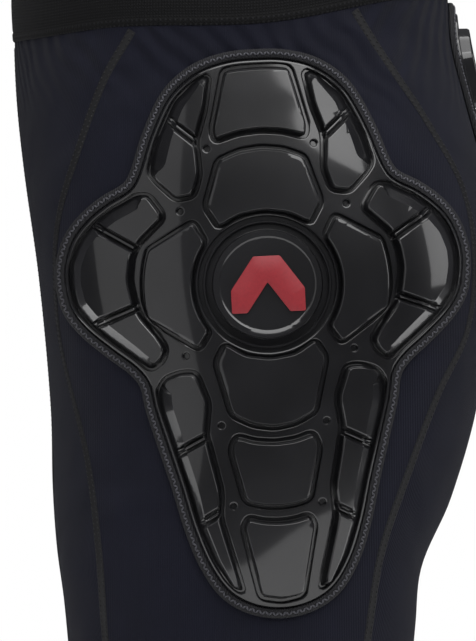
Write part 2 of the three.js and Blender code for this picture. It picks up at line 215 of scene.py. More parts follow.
waistline = spline([(-160, -9), (-125, -8), (-75, -1.5), (0, 0.5), (60, 11.5), (110, 20), (160, 26)])
front_seam = spline([
    (-173, -67), (-100, -74), (-36, -80.5), (10, -84), (54, -89.5), (111, -102.5),
    (150, -105.5), (178, -103), (210, -93.5), (245, -80.5), (273, -65), (310, -52),
])
rear_seam = spline([
    (-173, 42), (-100, 46), (-36, 52), (6.5, 58.5), (54.5, 75), (87, 88), (118, 103),
    (160, 106.5), (192, 100), (223, 82.5), (248.5, 65), (279, 45.5), (310, 30),
])


def seam_y(seam, z):
    return seam(z - CROTCH_Z)


def waist_z(y):
    return WAIST_Z + waistline(y)


# ------------------------------------------------------------------ outlines, flat, in mm

def mirrored(half):
    return half + [(-u, v) for u, v in reversed(half) if u > 0]


def swapped(outline):
    return [(-u, v) for u, v in outline]


def circle(radius, steps, centre=(0, 0)):
    angles = [math.tau * k / steps for k in range(steps)]
    return [(centre[0] + radius * math.cos(a), centre[1] + radius * math.sin(a)) for a in angles]


def arc(radius, start, end, steps):
    angles = [math.radians(start + (end - start) * k / steps) for k in range(steps + 1)]
    return [(radius * math.cos(a), radius * math.sin(a)) for a in angles]


def anticlockwise(outline):
    n = len(outline)
    area = 0.0
    for i, (u, v) in enumerate(outline):
        next_u, next_v = outline[(i + 1) % n]
        area += u * next_v - next_u * v
    return outline if area > 0 else outline[::-1]


def grown(outline, amounts):
    """Moves each corner of an anticlockwise outline outwards by its own amount."""
    n = len(outline)
    if not isinstance(amounts, list):
        amounts = [amounts] * n
    moved = []
    for i, (u, v) in enumerate(outline):
        before = Vector(outline[i - 1])
        after = Vector(outline[(i + 1) % n])
        here = Vector((u, v))
        a, b = (here - before).normalized(), (after - here).normalized()
        a, b = Vector((a.y, -a.x)), Vector((b.y, -b.x))
        middle = (a + b).normalized()
        reach = amounts[i] / max(middle.dot(a), 0.6)
        moved.append((u + middle.x * reach, v + middle.y * reach))
    return moved


def room(outline, i, inward):
    """How far an outline reaches inwards from one of its corners."""
    start, best, n = Vector(outline[i]), 60.0, len(outline)
    for k in range(n):
        if k in (i, (i - 1) % n):
            continue
        a, b = Vector(outline[k]), Vector(outline[(k + 1) % n])
        side = b - a
        cross = inward.x * side.y - inward.y * side.x
        if abs(cross) < 1e-9:
            continue
        far = ((a.x - start.x) * side.y - (a.y - start.y) * side.x) / cross
        t = ((a.x - start.x) * inward.y - (a.y - start.y) * inward.x) / cross
        if far > 0.3 and 0 <= t <= 1:
            best = min(best, far)
    return best


def inset(outline, amounts):
    """Moves each corner inwards, never past the middle, and straightens runs that fold at tight corners."""
    n = len(outline)
    inwards = [(Vector(g) - Vector(p)) for g, p in zip(grown(outline, -0.01), outline)]
    limited = [min(a, 0.36 * room(outline, i, d.normalized())) for i, (a, d) in enumerate(zip(amounts, inwards))]
    for _ in range(3):
        limited = [(limited[i - 1] + 2 * limited[i] + limited[(i + 1) % n]) / 4 for i in range(n)]
    moved = [Vector(p) for p in grown(outline, [-a for a in limited])]
    for _ in range(80):
        folded = set()
        for i in range(n):
            side = Vector(outline[i]) - Vector(outline[i - 1])
            if (moved[i] - moved[i - 1]).dot(side) <= 0.1 * side.length_squared:
                folded.add(i)
        if not folded:
            break
        folded |= {(i - 1) % n for i in folded}
        moved = [(moved[i - 1] + moved[(i + 1) % n]) / 2 if i in folded else moved[i] for i in range(n)]
    return [tuple(p) for p in moved]


def softened(outline, radius=2.2, steps=4, spacing=4.0):
    """An outline with its corners rounded and its long sides divided."""
    n = len(outline)
    rounded = []
    for i, point in enumerate(outline):
        here, before, after = Vector(point), Vector(outline[i - 1]), Vector(outline[(i + 1) % n])
        cut = min(radius, (here - before).length * 0.45, (after - here).length * 0.45)
        start = here + (before - here).normalized() * cut
        end = here + (after - here).normalized() * cut
        for k in range(steps + 1):
            t = k / steps
            rounded.append(start * (1 - t) ** 2 + here * (2 * t * (1 - t)) + end * t * t)
    divided = []
    for i, here in enumerate(rounded):
        after = rounded[(i + 1) % len(rounded)]
        pieces = max(1, round((after - here).length / spacing))
        divided += [tuple(here.lerp(after, k / pieces)) for k in range(pieces)]
    kept = [p for i, p in enumerate(divided) if (Vector(p) - Vector(divided[i - 1])).length > 0.02]
    return anticlockwise(kept)


def curve_through(points, spacing=3.0):
    """A closed smooth outline through points, evenly divided."""
    n = len(points)
    dense = []
    for i in range(n):
        p = [Vector(points[(i + k) % n]) for k in (-1, 0, 1, 2)]
        for k in range(12):
            t = k / 12
            dense.append(0.5 * (2 * p[1] + (p[2] - p[0]) * t + (2 * p[0] - 5 * p[1] + 4 * p[2] - p[3]) * t * t
                                + (3 * p[1] - p[0] - 3 * p[2] + p[3]) * t ** 3))
    return evenly(dense, spacing)


def evenly(points, spacing):
    """Points at an even spacing along a closed line."""
    lengths = [(points[(i + 1) % len(points)] - p).length for i, p in enumerate(points)]
    count = max(8, round(sum(lengths) / spacing))
    step = sum(lengths) / count
    found, travelled, i = [], 0.0, 0
    for k in range(count):
        while travelled + lengths[i] < k * step:
            travelled += lengths[i]
            i += 1
        t = (k * step - travelled) / lengths[i]
        found.append(tuple(points[i].lerp(points[(i + 1) % len(points)], t)))
    return anticlockwise(found)


def near(point, outline):
    """The distance from a point to an outline."""
    u, v = point
    best = 1e9
    for i, (bu, bv) in enumerate(outline):
        au, av = outline[i - 1]
        du, dv = bu - au, bv - av
        t = max(0.0, min(1.0, ((u - au) * du + (v - av) * dv) / (du * du + dv * dv + 1e-12)))
        best = min(best, (u - au - t * du) ** 2 + (v - av - t * dv) ** 2)
    return math.sqrt(best)


def far_apart(point, outline, distance):
    """True if a point is clearly further than a distance from an outline's box."""
    for axis in (0, 1):
        along = [p[axis] for p in outline]
        if not min(along) - distance < point[axis] < max(along) + distance:
            return True
    return False


# ------------------------------------------------------------------ the hip pad's plan, from its boss

HIP_OUTLINE = curve_through(mirrored([
    (0, 112), (15, 111), (30, 106), (43, 95), (53, 76), (60, 57), (65.5, 49), (77, 42.5), (87, 34.6), (94, 25.5),
    (98, 14), (98.5, 4), (96, -8.5), (89, -18.5), (77.5, -29), (66, -38.5), (60, -47), (57.5, -60), (52, -80),
    (46.5, -100), (41.5, -120), (35, -138), (26, -152), (14, -159.5), (0, -162),
]))
KIDNEY = arc(36.5, -37, 37, 8) + [(35, 33)] + arc(61, 19, -14, 8) + [(35, -31)]
UPPER_FLANK = [
    (23.5, 104), (26.5, 88), (31.5, 73), (30.5, 56), (34, 45.5), (43, 44), (52, 53),
    (55.5, 58), (51, 74), (41.5, 93), (30, 103.5), (26, 105.5),
]
WING = [
    (50, 38), (50, 34.5), (61.5, 23.5), (65.3, 16), (66.8, 5), (65, -6), (62, -13.5), (54.5, -23), (50.5, -30),
    (53, -36), (59, -40.5), (65, -36), (76.5, -26.7), (87.5, -16.8), (94, -7.7), (96.3, 4), (95.8, 13.5),
    (92, 24.2), (85.5, 32.8), (76, 40.3), (62, 47.5), (56, 47),
]
LOWER_FLANK = [
    (56, -50), (52, -44.5), (44, -42), (37, -42.5), (31.5, -58), (33.5, -73), (27.5, -102), (28.5, -116),
    (19, -153), (24.5, -151), (33, -137), (39.5, -119.5), (44.5, -99.5), (50, -80), (55.5, -60),
]
UPPER_RIBS = [((30.5, 71.5), (40, 80))]
WING_RIBS = [((63, 20.2), (80, 31)), ((62, -8), (79, -14.7))]
LOWER_RIBS = [((32.5, -74.5), (46, -81.5)), ((27.5, -112), (37, -117.5))]
RIBBED_CELLS = [(UPPER_FLANK, UPPER_RIBS, 7.5), (WING, WING_RIBS, 7.0), (LOWER_FLANK, LOWER_RIBS, 7.0)]
CENTRE_CELLS = {
    "top": mirrored([(0, 108.7), (8, 108.5), (16.3, 107.5), (23.5, 78), (22.5, 72.5), (11, 76), (0, 77)]),
    "upper_centre": mirrored([(0, 68), (11, 66.7), (21.5, 62.5), (28.8, 40), (22.5, 29), (12, 34.6), (0, 36.5)]),
    "lower_centre_1": mirrored([
        (0, -36.5), (12, -34.6), (22, -28), (27.3, -38), (20.6, -64.5), (10.5, -69.8), (0, -71.6),
    ]),
    "lower_centre_2": mirrored([(0, -79), (10, -78), (19, -75), (22, -82), (16, -108), (8, -110.3), (0, -111)]),
    "lower_centre_3": mirrored([(0, -118.7), (8, -118), (15, -116), (17.8, -120.7), (10.5, -156), (0, -158)]),
}
PIN_HOLES = [(26.5, 68.8), (41.2, 38.2), (41.5, -34), (26, -69.5), (22, -110)]
EMBLEM = mirrored([(0, 14), (6.5, 14), (18, -2.5), (18, -14), (10.5, -14), (0, 1)])

TAIL_OUTLINE = curve_through(mirrored([
    (0, 60), (18, 60), (30, 59), (44, 54), (53, 44), (55, 30), (52, 10), (46, -6), (40, -22), (33, -37),
    (24, -50), (12, -60), (0, -63),
]))
TAIL_SIDE = [(8.5, 52), (28, 52), (42, 47), (49, 37), (48, 15), (45, 9.5), (30, 10), (12, 17)]
TAIL_LOW = [(27, 2), (43, 2), (36, -22), (24, -43), (15, -52), (14, -28)]
TAIL_CELLS = [
    mirrored([(0, 10), (9, 9), (21, 1), (9, -27), (0, -30)]),
    mirrored([(0, -36), (8, -35), (9, -53), (0, -57)]),
]


# ------------------------------------------------------------------ shader maths

class Socket:
    """A node's output, with arithmetic that builds Math nodes."""

    def __init__(self, sheet, output):
        self.sheet, self.output = sheet, output

    def maths(self, operation, *others, clamp=False):
        return self.sheet.node("ShaderNodeMath", dict(operation=operation, use_clamp=clamp), (self, *others))

    def __add__(self, other):
        return self.maths("ADD", other)

    def __radd__(self, other):
        return self.maths("ADD", other)

    def __sub__(self, other):
        return self.maths("SUBTRACT", other)

    def __rsub__(self, other):
        return self.sheet.node("ShaderNodeMath", dict(operation="SUBTRACT"), (other, self))

    def __mul__(self, other):
        return self.maths("MULTIPLY", other)

    def __rmul__(self, other):
        return self.maths("MULTIPLY", other)

    def __truediv__(self, other):
        return self.maths("DIVIDE", other)

    def sine(self):
        return self.maths("SINE")

    def power(self, exponent):
        return self.maths("POWER", exponent)

    def between(self, low, high):
        """0 below low, 1 above high, and smooth between them."""
        settings = dict(interpolation_type="SMOOTHSTEP")
        return self.sheet.node("ShaderNodeMapRange", settings, {"Value": self, "From Min": low, "From Max": high})


class Sheet:
    """One material, and the nodes in it."""

    def __init__(self, name, **constants):
        self.material = bpy.data.materials.new(name)
        self.material.use_nodes = True
        self.tree = self.material.node_tree
        self.base = self.tree.nodes["Principled BSDF"]
        for socket, value in constants.items():
            self.base.inputs[socket.replace("_", " ")].default_value = value

    def node(self, kind, settings=None, sockets=(), output=0):
        """Any node: its type, its settings, and its sockets by place or by name."""
        made = self.tree.nodes.new(kind)
        for key, value in (settings or {}).items():
            setattr(made, key, value)
        pairs = sockets.items() if isinstance(sockets, dict) else enumerate(sockets)
        for key, value in pairs:
            if isinstance(value, Socket):
                self.tree.links.new(value.output, made.inputs[key])
            else:
                made.inputs[key].default_value = value
        return Socket(self, made.outputs[output])

    def put(self, name, value):
        self.tree.links.new(value.output, self.base.inputs[name])

    def place(self, scale=1000.0):
        """Object coordinates in mm."""
        texture = self.node("ShaderNodeTexCoord", output="Object")
        return self.node("ShaderNodeVectorMath", dict(operation="SCALE"), {0: texture, "Scale": scale})

    def cloth(self):
        """The piece's own flat coordinates in mm: across and along."""
        apart = self.node("ShaderNodeUVMap", dict(uv_map="cloth"))
        split = self.node("ShaderNodeSeparateXYZ", sockets=[apart])
        return split * 1000.0, Socket(self, split.output.node.outputs[1]) * 1000.0

    def noise(self, where, scale, detail=3.0):
        return self.node("ShaderNodeTexNoise", sockets={"Vector": where, "Scale": scale, "Detail": detail})

    def mix(self, share, first, second):
        return self.node(
            "ShaderNodeMix", dict(data_type="RGBA"), {0: share, 6: first, 7: second}, 2
        )

    def bump(self, height, distance, strength=1.0):
        found = self.node("ShaderNodeBump", sockets={"Height": height, "Distance": distance, "Strength": strength})
        self.put("Normal", found)


def tone(red, green, blue):
    """A colour given as a screen shows it, from 0 to 255."""
    shares = (c / 255 for c in (red, green, blue))
    return tuple(((c + 0.055) / 1.055) ** 2.4 if c > 10 / 255 else c / 12.92 for c in shares) + (1,)


def shade(colour, amount):
    return tuple(c * amount for c in colour[:3]) + (1,)


def film_material(colour):
    """Thermoformed film over foam: a polished skin with a fine even grain under it."""
    m = Sheet("pad_film", Coat_Weight=1.0, Coat_Roughness=0.07, Specular_IOR_Level=0.3)
    here = m.place()
    broad, fine = m.noise(here, 0.03), m.noise(here, 1.6, 4.0)
    m.put("Base Color", m.mix(broad.between(0.35, 0.7), shade(colour, 0.8), shade(colour, 1.25)))
    m.put("Roughness", 0.26 + 0.08 * broad + 0.05 * fine)
    m.bump(fine, 0.00004, 0.5)
    return m.material


def jersey_material(colour, low=385.0, high=440.0):
    """Fine knitted jersey with its wales and courses, and soft slanting pulls under the waistband."""
    m = Sheet("jersey_knit", Sheen_Weight=0.03, Sheen_Roughness=0.5, Specular_IOR_Level=0.1)
    across, along = m.cloth()
    wale = (across * (math.tau / 0.9)).sine()
    course = ((along + 0.25 * wale) * (math.tau / 0.7)).sine()
    knit = 0.6 * wale + 0.4 * course
    patches, bends = m.noise(m.place(), 0.05), m.noise(m.place(), 0.02, 1.0)
    pulls = ((across + along * 0.95) * 0.42 + bends * 14.0).sine()
    wide = ((across * 0.35 - along) * 0.13 + bends * 9.0).sine()
    under = along.between(low, high) * (1 - along.between(high + 40, high + 60))
    shades = 0.5 + 0.22 * knit + 0.6 * (patches - 0.5)
    m.put("Base Color", m.mix(shades, shade(colour, 0.6), shade(colour, 1.4)))
    m.put("Roughness", 0.72 + 0.1 * patches)
    m.bump(knit * 0.12 + (pulls * patches * under) * 1.7 + wide * 0.7, 0.0012, 0.9)
    return m.material


def elastic_material(colour, edge=5.2):
    """Woven elastic: rows of small dots, and a brighter stitched zone by its lower edge."""
    m = Sheet("waist_elastic", Sheen_Weight=0.02, Specular_IOR_Level=0.15)
    across, along = m.cloth()
    rows = (along * (math.tau / 1.5)).sine()
    dots = (across * (math.tau / 1.25) + rows * 0.9).sine()
    woven = (0.5 + 0.5 * rows) * (0.5 + 0.5 * dots)
    stitched = 1 - along.between(edge - 0.8, edge)
    loops = (0.5 + 0.5 * (across * (math.tau / 2.1)).sine()) * (0.5 + 0.5 * (along * (math.tau / 2.4)).sine())
    bright = woven * (1 - stitched) * 0.65 + loops.power(2.0) * stitched * 1.2
    m.put("Base Color", m.mix(bright.between(0.0, 1.0), shade(colour, 0.5), shade(colour, 2.4)))
    m.put("Roughness", 0.78 - 0.2 * bright)
    m.bump(woven + loops * stitched, 0.0003, 0.8)
    return m.material


def ribbed_material(name, colour, pitch, roughness, depth, specular=0.4):
    """Tape, band or rubber with fine ribs across it."""
    m = Sheet(name, Specular_IOR_Level=specular)
    across, _ = m.cloth()
    ribs = (across * (math.tau / pitch)).sine()
    grain = m.noise(m.place(), 0.4)
    m.put("Base Color", m.mix(0.5 + 0.3 * ribs + 0.6 * (grain - 0.5), shade(colour, 0.65), shade(colour, 1.35)))
    m.put("Roughness", roughness + 0.1 * grain)
    m.bump(ribs, depth, 0.7)
    return m.material


def plain_material(name, colour, roughness, grain=0.8, depth=0.00005, specular=0.4):
    """A cast or cut surface with a fine grain."""
    m = Sheet(name, Specular_IOR_Level=specular)
    spots = m.noise(m.place(), grain, 4.0)
    m.put("Base Color", m.mix(spots, shade(colour, 0.8), shade(colour, 1.2)))
    m.put("Roughness", roughness + 0.12 * spots)
    m.bump(spots, depth, 0.6)
    return m.material


# ------------------------------------------------------------------ mesh helpers

def cloth_map(bm, flat):
    """Writes the flat coordinates of every corner, in metres, to the piece's UV map."""
    layer = bm.loops.layers.uv.new("cloth")
    for face in bm.faces:
        for loop in face.loops:
            loop[layer].uv = [c * MM for c in flat(loop.vert.co)]


def follow_skin(mesh, skin_normal, within=14):
    """Gives the faces that lie along the body the body's own smooth normals, so that they reflect cleanly."""
    limit = math.cos(math.radians(within))
    outward = [skin_normal(vert.co / MM) for vert in mesh.vertices]
    normals = [corner.vector.copy() for corner in mesh.corner_normals]
    for face in mesh.polygons:
        for corner in face.loop_indices:
            smooth = outward[mesh.loops[corner].vertex_index]
            if face.normal.dot(smooth) > limit and normals[corner].dot(smooth) > limit:
                normals[corner] = smooth
    mesh.normals_split_custom_set(normals)


def finish_piece(name, bm, material, replaces=(), smooth_below=40, flip=False, flat=None, skin=None):
    """Makes a bmesh, drawn in mm from the pad's centre line, into a piece that rides on the root."""
    bmesh.ops.remove_doubles(bm, verts=bm.verts, dist=0.005)
    if not bm.loops.layers.uv:
        cloth_map(bm, flat or (lambda p: (p.y, p.z)))
    for vert in bm.verts:
        vert.co = Vector((vert.co.x * (-1 if flip else 1), vert.co.y + CENTRE_Y, vert.co.z)) * MM
    bmesh.ops.recalc_face_normals(bm, faces=bm.faces)
    if bm.calc_volume(signed=True) < 0:
        bmesh.ops.reverse_faces(bm, faces=bm.faces)
    mesh = bpy.data.meshes.new(name)
    bm.to_mesh(mesh)
    bm.free()
    mesh.shade_smooth()
    mesh.set_sharp_from_angle(angle=math.radians(smooth_below))
    if skin:
        follow_skin(mesh, skin)
    piece = bpy.data.objects.new(name, mesh)
    bpy.context.scene.collection.objects.link(piece)
    mesh.materials.append(material)
    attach(piece, "root")
    if replaces:
        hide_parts(*replaces)
    return piece


def ring(bm, outline, height):
    """A closed line of vertices round an outline, at one height."""
    verts = [bm.verts.new((u, v, height)) for u, v in outline]
    for i, vert in enumerate(verts):
        bm.edges.new((verts[i - 1], vert))
    return verts


def join_rings(bm, outer, inner):
    """Faces between two rings of as many vertices, seen from above with outer outside inner."""
    for i in range(len(outer)):
        bm.faces.new((outer[i - 1], outer[i], inner[i], inner[i - 1]))


def edges_of(bm, *rings):
    return [bm.edges.get((r[i - 1], r[i])) for r in rings for i in range(len(r))]


def fill_between(bm, outer, holes):
    """A flat face between one ring and the rings inside it, facing up."""
    found = bmesh.ops.triangle_fill(
        bm, edges=edges_of(bm, outer, *holes), use_beauty=True, use_dissolve=False, normal=(0, 0, 1)
    )
    faces = [g for g in found["geom"] if isinstance(g, bmesh.types.BMFace)]
    for face in faces:
        face.normal_update()
    bmesh.ops.reverse_faces(bm, faces=[f for f in faces if f.normal.z < 0])


def rise(bm, foot, loops):
    """Raises rings from a foot ring through (outline, height) loops, and returns the last ring."""
    last = foot
    for outline, height in loops:
        new = ring(bm, outline, height)
        join_rings(bm, last, new)
        last = new
    return last


def cap(bm, top, outline, height):
    """Closes a ring with a face that has a faint crown inside it."""
    inner = inset(outline, [1.6] * len(outline))
    inside = ring(bm, inner, height + 0.12)
    join_rings(bm, top, inside)
    fill_between(bm, inside, [])


def grid_cut(bm, step, low, high):
    """Cuts every large face along a grid, so that the flat pad can bend."""
    for axis in (0, 1):
        at = math.floor(low[axis] / step) * step
        normal = Vector((axis == 0, axis == 1, 0))
        while at < high[axis]:
            faces = [f for f in bm.faces if f.calc_area() > 0.8]
            edges = list({e for f in faces for e in f.edges})
            geom = faces + edges + list({v for f in faces for v in f.verts})
            bmesh.ops.bisect_plane(bm, geom=geom, dist=0.02, plane_co=normal * at, plane_no=normal)
            at += step


# ------------------------------------------------------------------ the pad's moulded shell

FLOOR, WEB, CELL = 0.9, 3.0, 8.2  # heights in the moulding: its moats, its web and its cells


def cell_loops(base, border, slope, draft, top, rim=1.0):
    """The rings of one cell: steep walls, and a broad slope along the pad's border."""
    amounts = []
    for point in base:
        reach = min(1.0, max(0.0, (6.5 - near(point, border)) / 3.0)) if border else 0.0
        amounts.append(draft + (slope - draft) * reach * reach * (3 - 2 * reach))
    plateau = inset(base, amounts)
    between = [(Vector(a), Vector(b)) for a, b in zip(plateau, base)]

    def beside(distance):
        return [tuple(a + (b - a) * min(0.6, distance / max((b - a).length, 0.01))) for a, b in between]

    foot = [tuple(b + (a - b) * 0.1) for a, b in between]
    return plateau, [
        (foot, FLOOR + 0.6), (beside(0.8 * rim), top - rim), (beside(0.34 * rim), top - 0.36 * rim),
        (beside(0.1 * rim), top - 0.08 * rim), (plateau, top),
    ]


def add_cell(bm, base, border=None, slope=1.2, draft=1.2, top=CELL, rim=1.0):
    foot = ring(bm, base, FLOOR)
    plateau, loops = cell_loops(base, border, slope, draft, top, rim)
    cap(bm, rise(bm, foot, loops), plateau, top)
    return foot


GROOVE = [(0.0, 2.6), (0.55, 2.75), (1.0, 4.0), (1.5, 4.3), (2.1, 1.0), (2.7, 0.15), (3.2, 0.0)]  # beside, deep


def groove_depth(beside):
    beside = abs(beside)
    for (a, deep), (b, less) in zip(GROOVE, GROOVE[1:]):
        if beside <= b:
            return deep + (less - deep) * (beside - a) / (b - a)
    return 0.0


def press_groove(bm, faces, start, end, border):
    """Presses a groove with a low rib along its middle into a cell; it fades out towards the border."""
    start, end = Vector(start), Vector(end)
    along = (end - start).normalized()
    left, middle = Vector((-along.y, along.x)), (start + end) / 2
    reach = (end - start).length / 2 + 9
    for beside in [side * b for b, _ in GROOVE for side in ((1, -1) if b else (1,))]:
        close = [f for f in faces if f.is_valid and (f.calc_center_median().xy - middle).length < reach + 6]
        geom = close + list({e for f in close for e in f.edges}) + list({v for f in close for v in f.verts})
        cut = bmesh.ops.bisect_plane(
            bm, geom=geom, dist=0.01, plane_co=(start + left * beside).to_3d(), plane_no=left.to_3d()
        )
        made = {g for g in cut["geom"] if isinstance(g, bmesh.types.BMFace)}
        faces = list({f for f in faces if f.is_valid} | made)
    for vert in {v for f in faces for v in f.verts}:
        offset = vert.co.xy - start
        beyond = abs(offset.dot(left)) > 3.2 or abs((vert.co.xy - middle).dot(along)) > reach
        if beyond or vert.co.z < FLOOR + 0.1:
            continue
        fade = min(1.0, max(0.0, (near(vert.co.xy, border) - 4.0) / 4.0))
        deep = groove_depth(offset.dot(left)) * fade * fade * (3 - 2 * fade)
        vert.co.z = max(FLOOR + 0.05, vert.co.z - deep * min(1.0, (vert.co.z - FLOOR) / 4.0))
    return faces


def add_lobed_cell(bm, base, border, slope, draft, ribs, top=CELL):
    """A cell whose plateau is parted by grooves, with one broad slope along the pad's border."""
    before = set(bm.faces)
    foot = ring(bm, base, FLOOR)
    _, loops = cell_loops(base, border, slope, draft, top, 1.0)
    fill_between(bm, rise(bm, foot, loops), [])
    faces = [f for f in bm.faces if f not in before and min(v.co.z for v in f.verts) > FLOOR + 0.1]
    for start, end in ribs:
        faces = press_groove(bm, faces, start, end, border)
    return foot


def add_boss(bm, radius):
    """The round boss: a dished rim, a flat face, and a thin lip round its moat."""
    steps = 72
    foot = ring(bm, circle(radius + 1.2, steps), FLOOR)
    rings = [(radius + 0.9, CELL - 2.6), (radius + 0.5, CELL - 0.7), (radius, CELL - 0.15), (radius - 0.7, CELL),
             (radius - 2.6, CELL - 0.05), (radius - 3.2, CELL - 0.45), (radius - 3.8, CELL - 0.6)]
    last = rise(bm, foot, [(circle(r, steps), h) for r, h in rings])
    fill_between(bm, last, [])
    return foot


def add_lip(bm, radius, width, height):
    """A thin round lip standing in the boss's moat; returns its outer and inner feet."""
    steps = 72
    outer = ring(bm, circle(radius + width / 2, steps), FLOOR)
    last = rise(bm, outer, [
        (circle(radius + width * 0.42, steps), height - 0.5), (circle(radius + width * 0.22, steps), height - 0.08),
        (circle(radius, steps), height), (circle(radius - width * 0.22, steps), height - 0.08),
        (circle(radius - width * 0.42, steps), height - 0.5), (circle(radius - width / 2, steps), FLOOR),
    ])
    return outer, last


def spread(outlines, wanted, border, web=1.3):
    """Grows each outline by what is wanted, as far as a web is left between it and what is near it."""
    found = []
    for outline, amount in zip(outlines, wanted):
        others = [o for o in outlines if o is not outline]
        amounts = []
        for point in outline:
            between = min([near(point, o) for o in others if not far_apart(point, o, 8)], default=99.0)
            amounts.append(max(-1.0, min(amount, (between - web) / 2, near(point, border) - 1.1 - web / 2)))
        found.append(grown(outline, amounts))
    return found


def add_web(bm, outline, hollows):
    """The flange and web: a plate with rounded rims. Each hollow gives its outline and floor feet."""
    base = ring(bm, outline, 0.0)
    rims = spread([o for o, _ in hollows], [0.9] * len(hollows), outline, web=0.3)
    top = rise(bm, base, [
        (grown(outline, -0.1), 1.6), (grown(outline, -0.45), WEB - 0.35), (grown(outline, -1.1), WEB),
    ])
    tops = []
    for (inner, feet), outer in zip(hollows, rims):
        between = [(Vector(a), Vector(b)) for a, b in zip(inner, outer)]
        rim = ring(bm, outer, WEB)
        bottom = rise(bm, rim, [
            ([tuple(a.lerp(b, 0.4)) for a, b in between], WEB - 0.16),
            ([tuple(a.lerp(b, 0.1)) for a, b in between], WEB - 0.6), (inner, FLOOR),
        ])
        fill_between(bm, bottom, feet)
        tops.append(rim)
    fill_between(bm, top, tops)


def hip_cells():
    """Every hollow of the hip pad: its outline and the cells that stand in it."""
    plain, wanted, stands = [circle(34.2, 72)], [0.0], [[]]
    border = HIP_OUTLINE
    for name, outline in CENTRE_CELLS.items():
        base = softened(outline, 3.0)
        plain.append(base)
        wanted.append(1.5)
        on_border = border if name in ("top", "lower_centre_3") else None
        stands.append([dict(base=base, border=on_border, slope=2.4, draft=1.6)])
    for side in (1, -1):
        turned = anticlockwise if side == 1 else swapped
        kidney = softened(turned(KIDNEY), 3.0)
        plain.append(kidney)
        wanted.append(1.3)
        stands.append([dict(base=kidney, draft=1.5)])
        for group, ribs, slope in RIBBED_CELLS:
            base = softened(turned(group), 3.0)
            plain.append(base)
            wanted.append(1.1)
            lines = [[(side * u, v) for u, v in rib] for rib in ribs]
            stands.append([dict(base=base, border=border, slope=slope, draft=1.8, ribs=lines)])
    for u, v in PIN_HOLES:
        for side in (1, -1):
            plain.append(circle(1.5, 16, (side * u, v)))
            wanted.append(0.0)
            stands.append([])
    return list(zip(spread(plain, wanted, border), stands))


def stand(bm, cell):
    return (add_lobed_cell if "ribs" in cell else add_cell)(bm, **cell)


def hip_shell_flat():
    bm = bmesh.new()
    hollows = [(outline, [stand(bm, cell) for cell in cells]) for outline, cells in hip_cells()]
    boss = add_boss(bm, 26.5)
    lip_outer, lip_inner = add_lip(bm, 31.2, 1.8, FLOOR + 2.6)
    fill_between(bm, lip_inner, [boss])
    hollows[0][1].append(lip_outer)
    add_web(bm, HIP_OUTLINE, hollows)
    return bm


LEAN = math.radians(2.75)
BED = 1.3  # the top of the pad's backing cloth, above the jersey


def hip_place(u, v, height, upright=0.55):
    """A point of the flat hip pad, laid on the side of the thigh."""
    y = u * math.cos(LEAN) - v * math.sin(LEAN)
    z = u * math.sin(LEAN) + v * math.cos(LEAN) + HIP_Z
    return off_side(y, z, BED + height, upright)


def lay_on(bm, place):
    """Bends a flat mesh onto the body, and faces it outwards."""
    known = {}
    for vert in bm.verts:
        key = (round(vert.co.x, 3), round(vert.co.y, 3), round(vert.co.z, 3))
        if key not in known:
            known[key] = place(*vert.co)
        vert.co = known[key]
    bmesh.ops.recalc_face_normals(bm, faces=bm.faces)


def both_sides(name, bm, material, replaces=(), smooth_below=40, flat=None, skin=None):
    """A piece for the left side, and its mirror image for the right."""
    other = bm.copy()
    found = []
    for side, mesh, flip in (("left_", bm, False), ("right_", other, True)):
        nodes = [side + node for node in replaces]
        found.append(finish_piece(side + name, mesh, material, nodes, smooth_below, flip, flat, skin))
    return found


HIP_FOAMS = ["hip_foam_" + name for name in (
    "top", "upper_centre", "boss", "lower_centre_1", "lower_centre_2", "lower_centre_3", "rear_kidney",
    "front_kidney", "rear_upper_flank", "front_upper_flank", "rear_wing", "front_wing", "rear_lower_flank",
    "front_lower_flank",
)]


def side_normal(point):
    """The body's outward direction beside a point of a hip pad."""
    y, z, step = point.y - CENTRE_Y, point.z, 3.0
    along = Vector((skin_side(y + step, z) - skin_side(y - step, z), 2 * step, 0))
    up = Vector((skin_side(y, z + step) - skin_side(y, z - step), 0, 2 * step))
    normal = along.cross(up).normalized()
    return Vector((math.copysign(normal.x, point.x), normal.y, normal.z))


def close_back(bm):
    """Closes a flat moulding's back with large triangles, which stay straight when it is laid on a curve."""
    edge = [e for e in bm.edges if len(e.link_faces) == 1]
    made = bmesh.ops.extrude_edge_only(bm, edges=edge)
    for vert in made["geom"]:
        if isinstance(vert, bmesh.types.BMVert):
            vert.co.z -= 0.2
    rim = [e for e in bm.edges if len(e.link_faces) == 1]
    bmesh.ops.triangle_fill(bm, edges=rim, use_beauty=True, use_dissolve=False, normal=(0, 0, -1))


def hip_shell(film):
    bm = hip_shell_flat()
    grid_cut(bm, 7.0, (-100, -164), (100, 114))
    close_back(bm)
    lay_on(bm, hip_place)
    return both_sides("hip_shell_film", bm, film, ["hip_shell"] + HIP_FOAMS, 32, skin=side_normal)


# ------------------------------------------------------------------ the jersey panels

def sizes():
    return bpy.context.scene.shorts_sizes


def wrinkle(y, z):
    """How far the jersey stands out from the body, in mm: soft pulls under the waistband."""
    low = math.exp(-((z - CROTCH_Z - 232) / 30) ** 2) * sizes().pulls
    pull = 0.55 * math.sin(0.19 * (y + 0.9 * z)) * math.exp(-((y - 62) / 30) ** 2) * low
    pull += 0.3 * math.sin(0.16 * (y - 1.1 * z)) * math.exp(-((y + 40) / 26) ** 2) * low
    leg = math.exp(-((z - CROTCH_Z + 40) / 70) ** 2)
    return pull + 0.35 * math.sin(0.11 * (z - 0.5 * y)) * leg * math.exp(-((y - 20) / 60) ** 2)


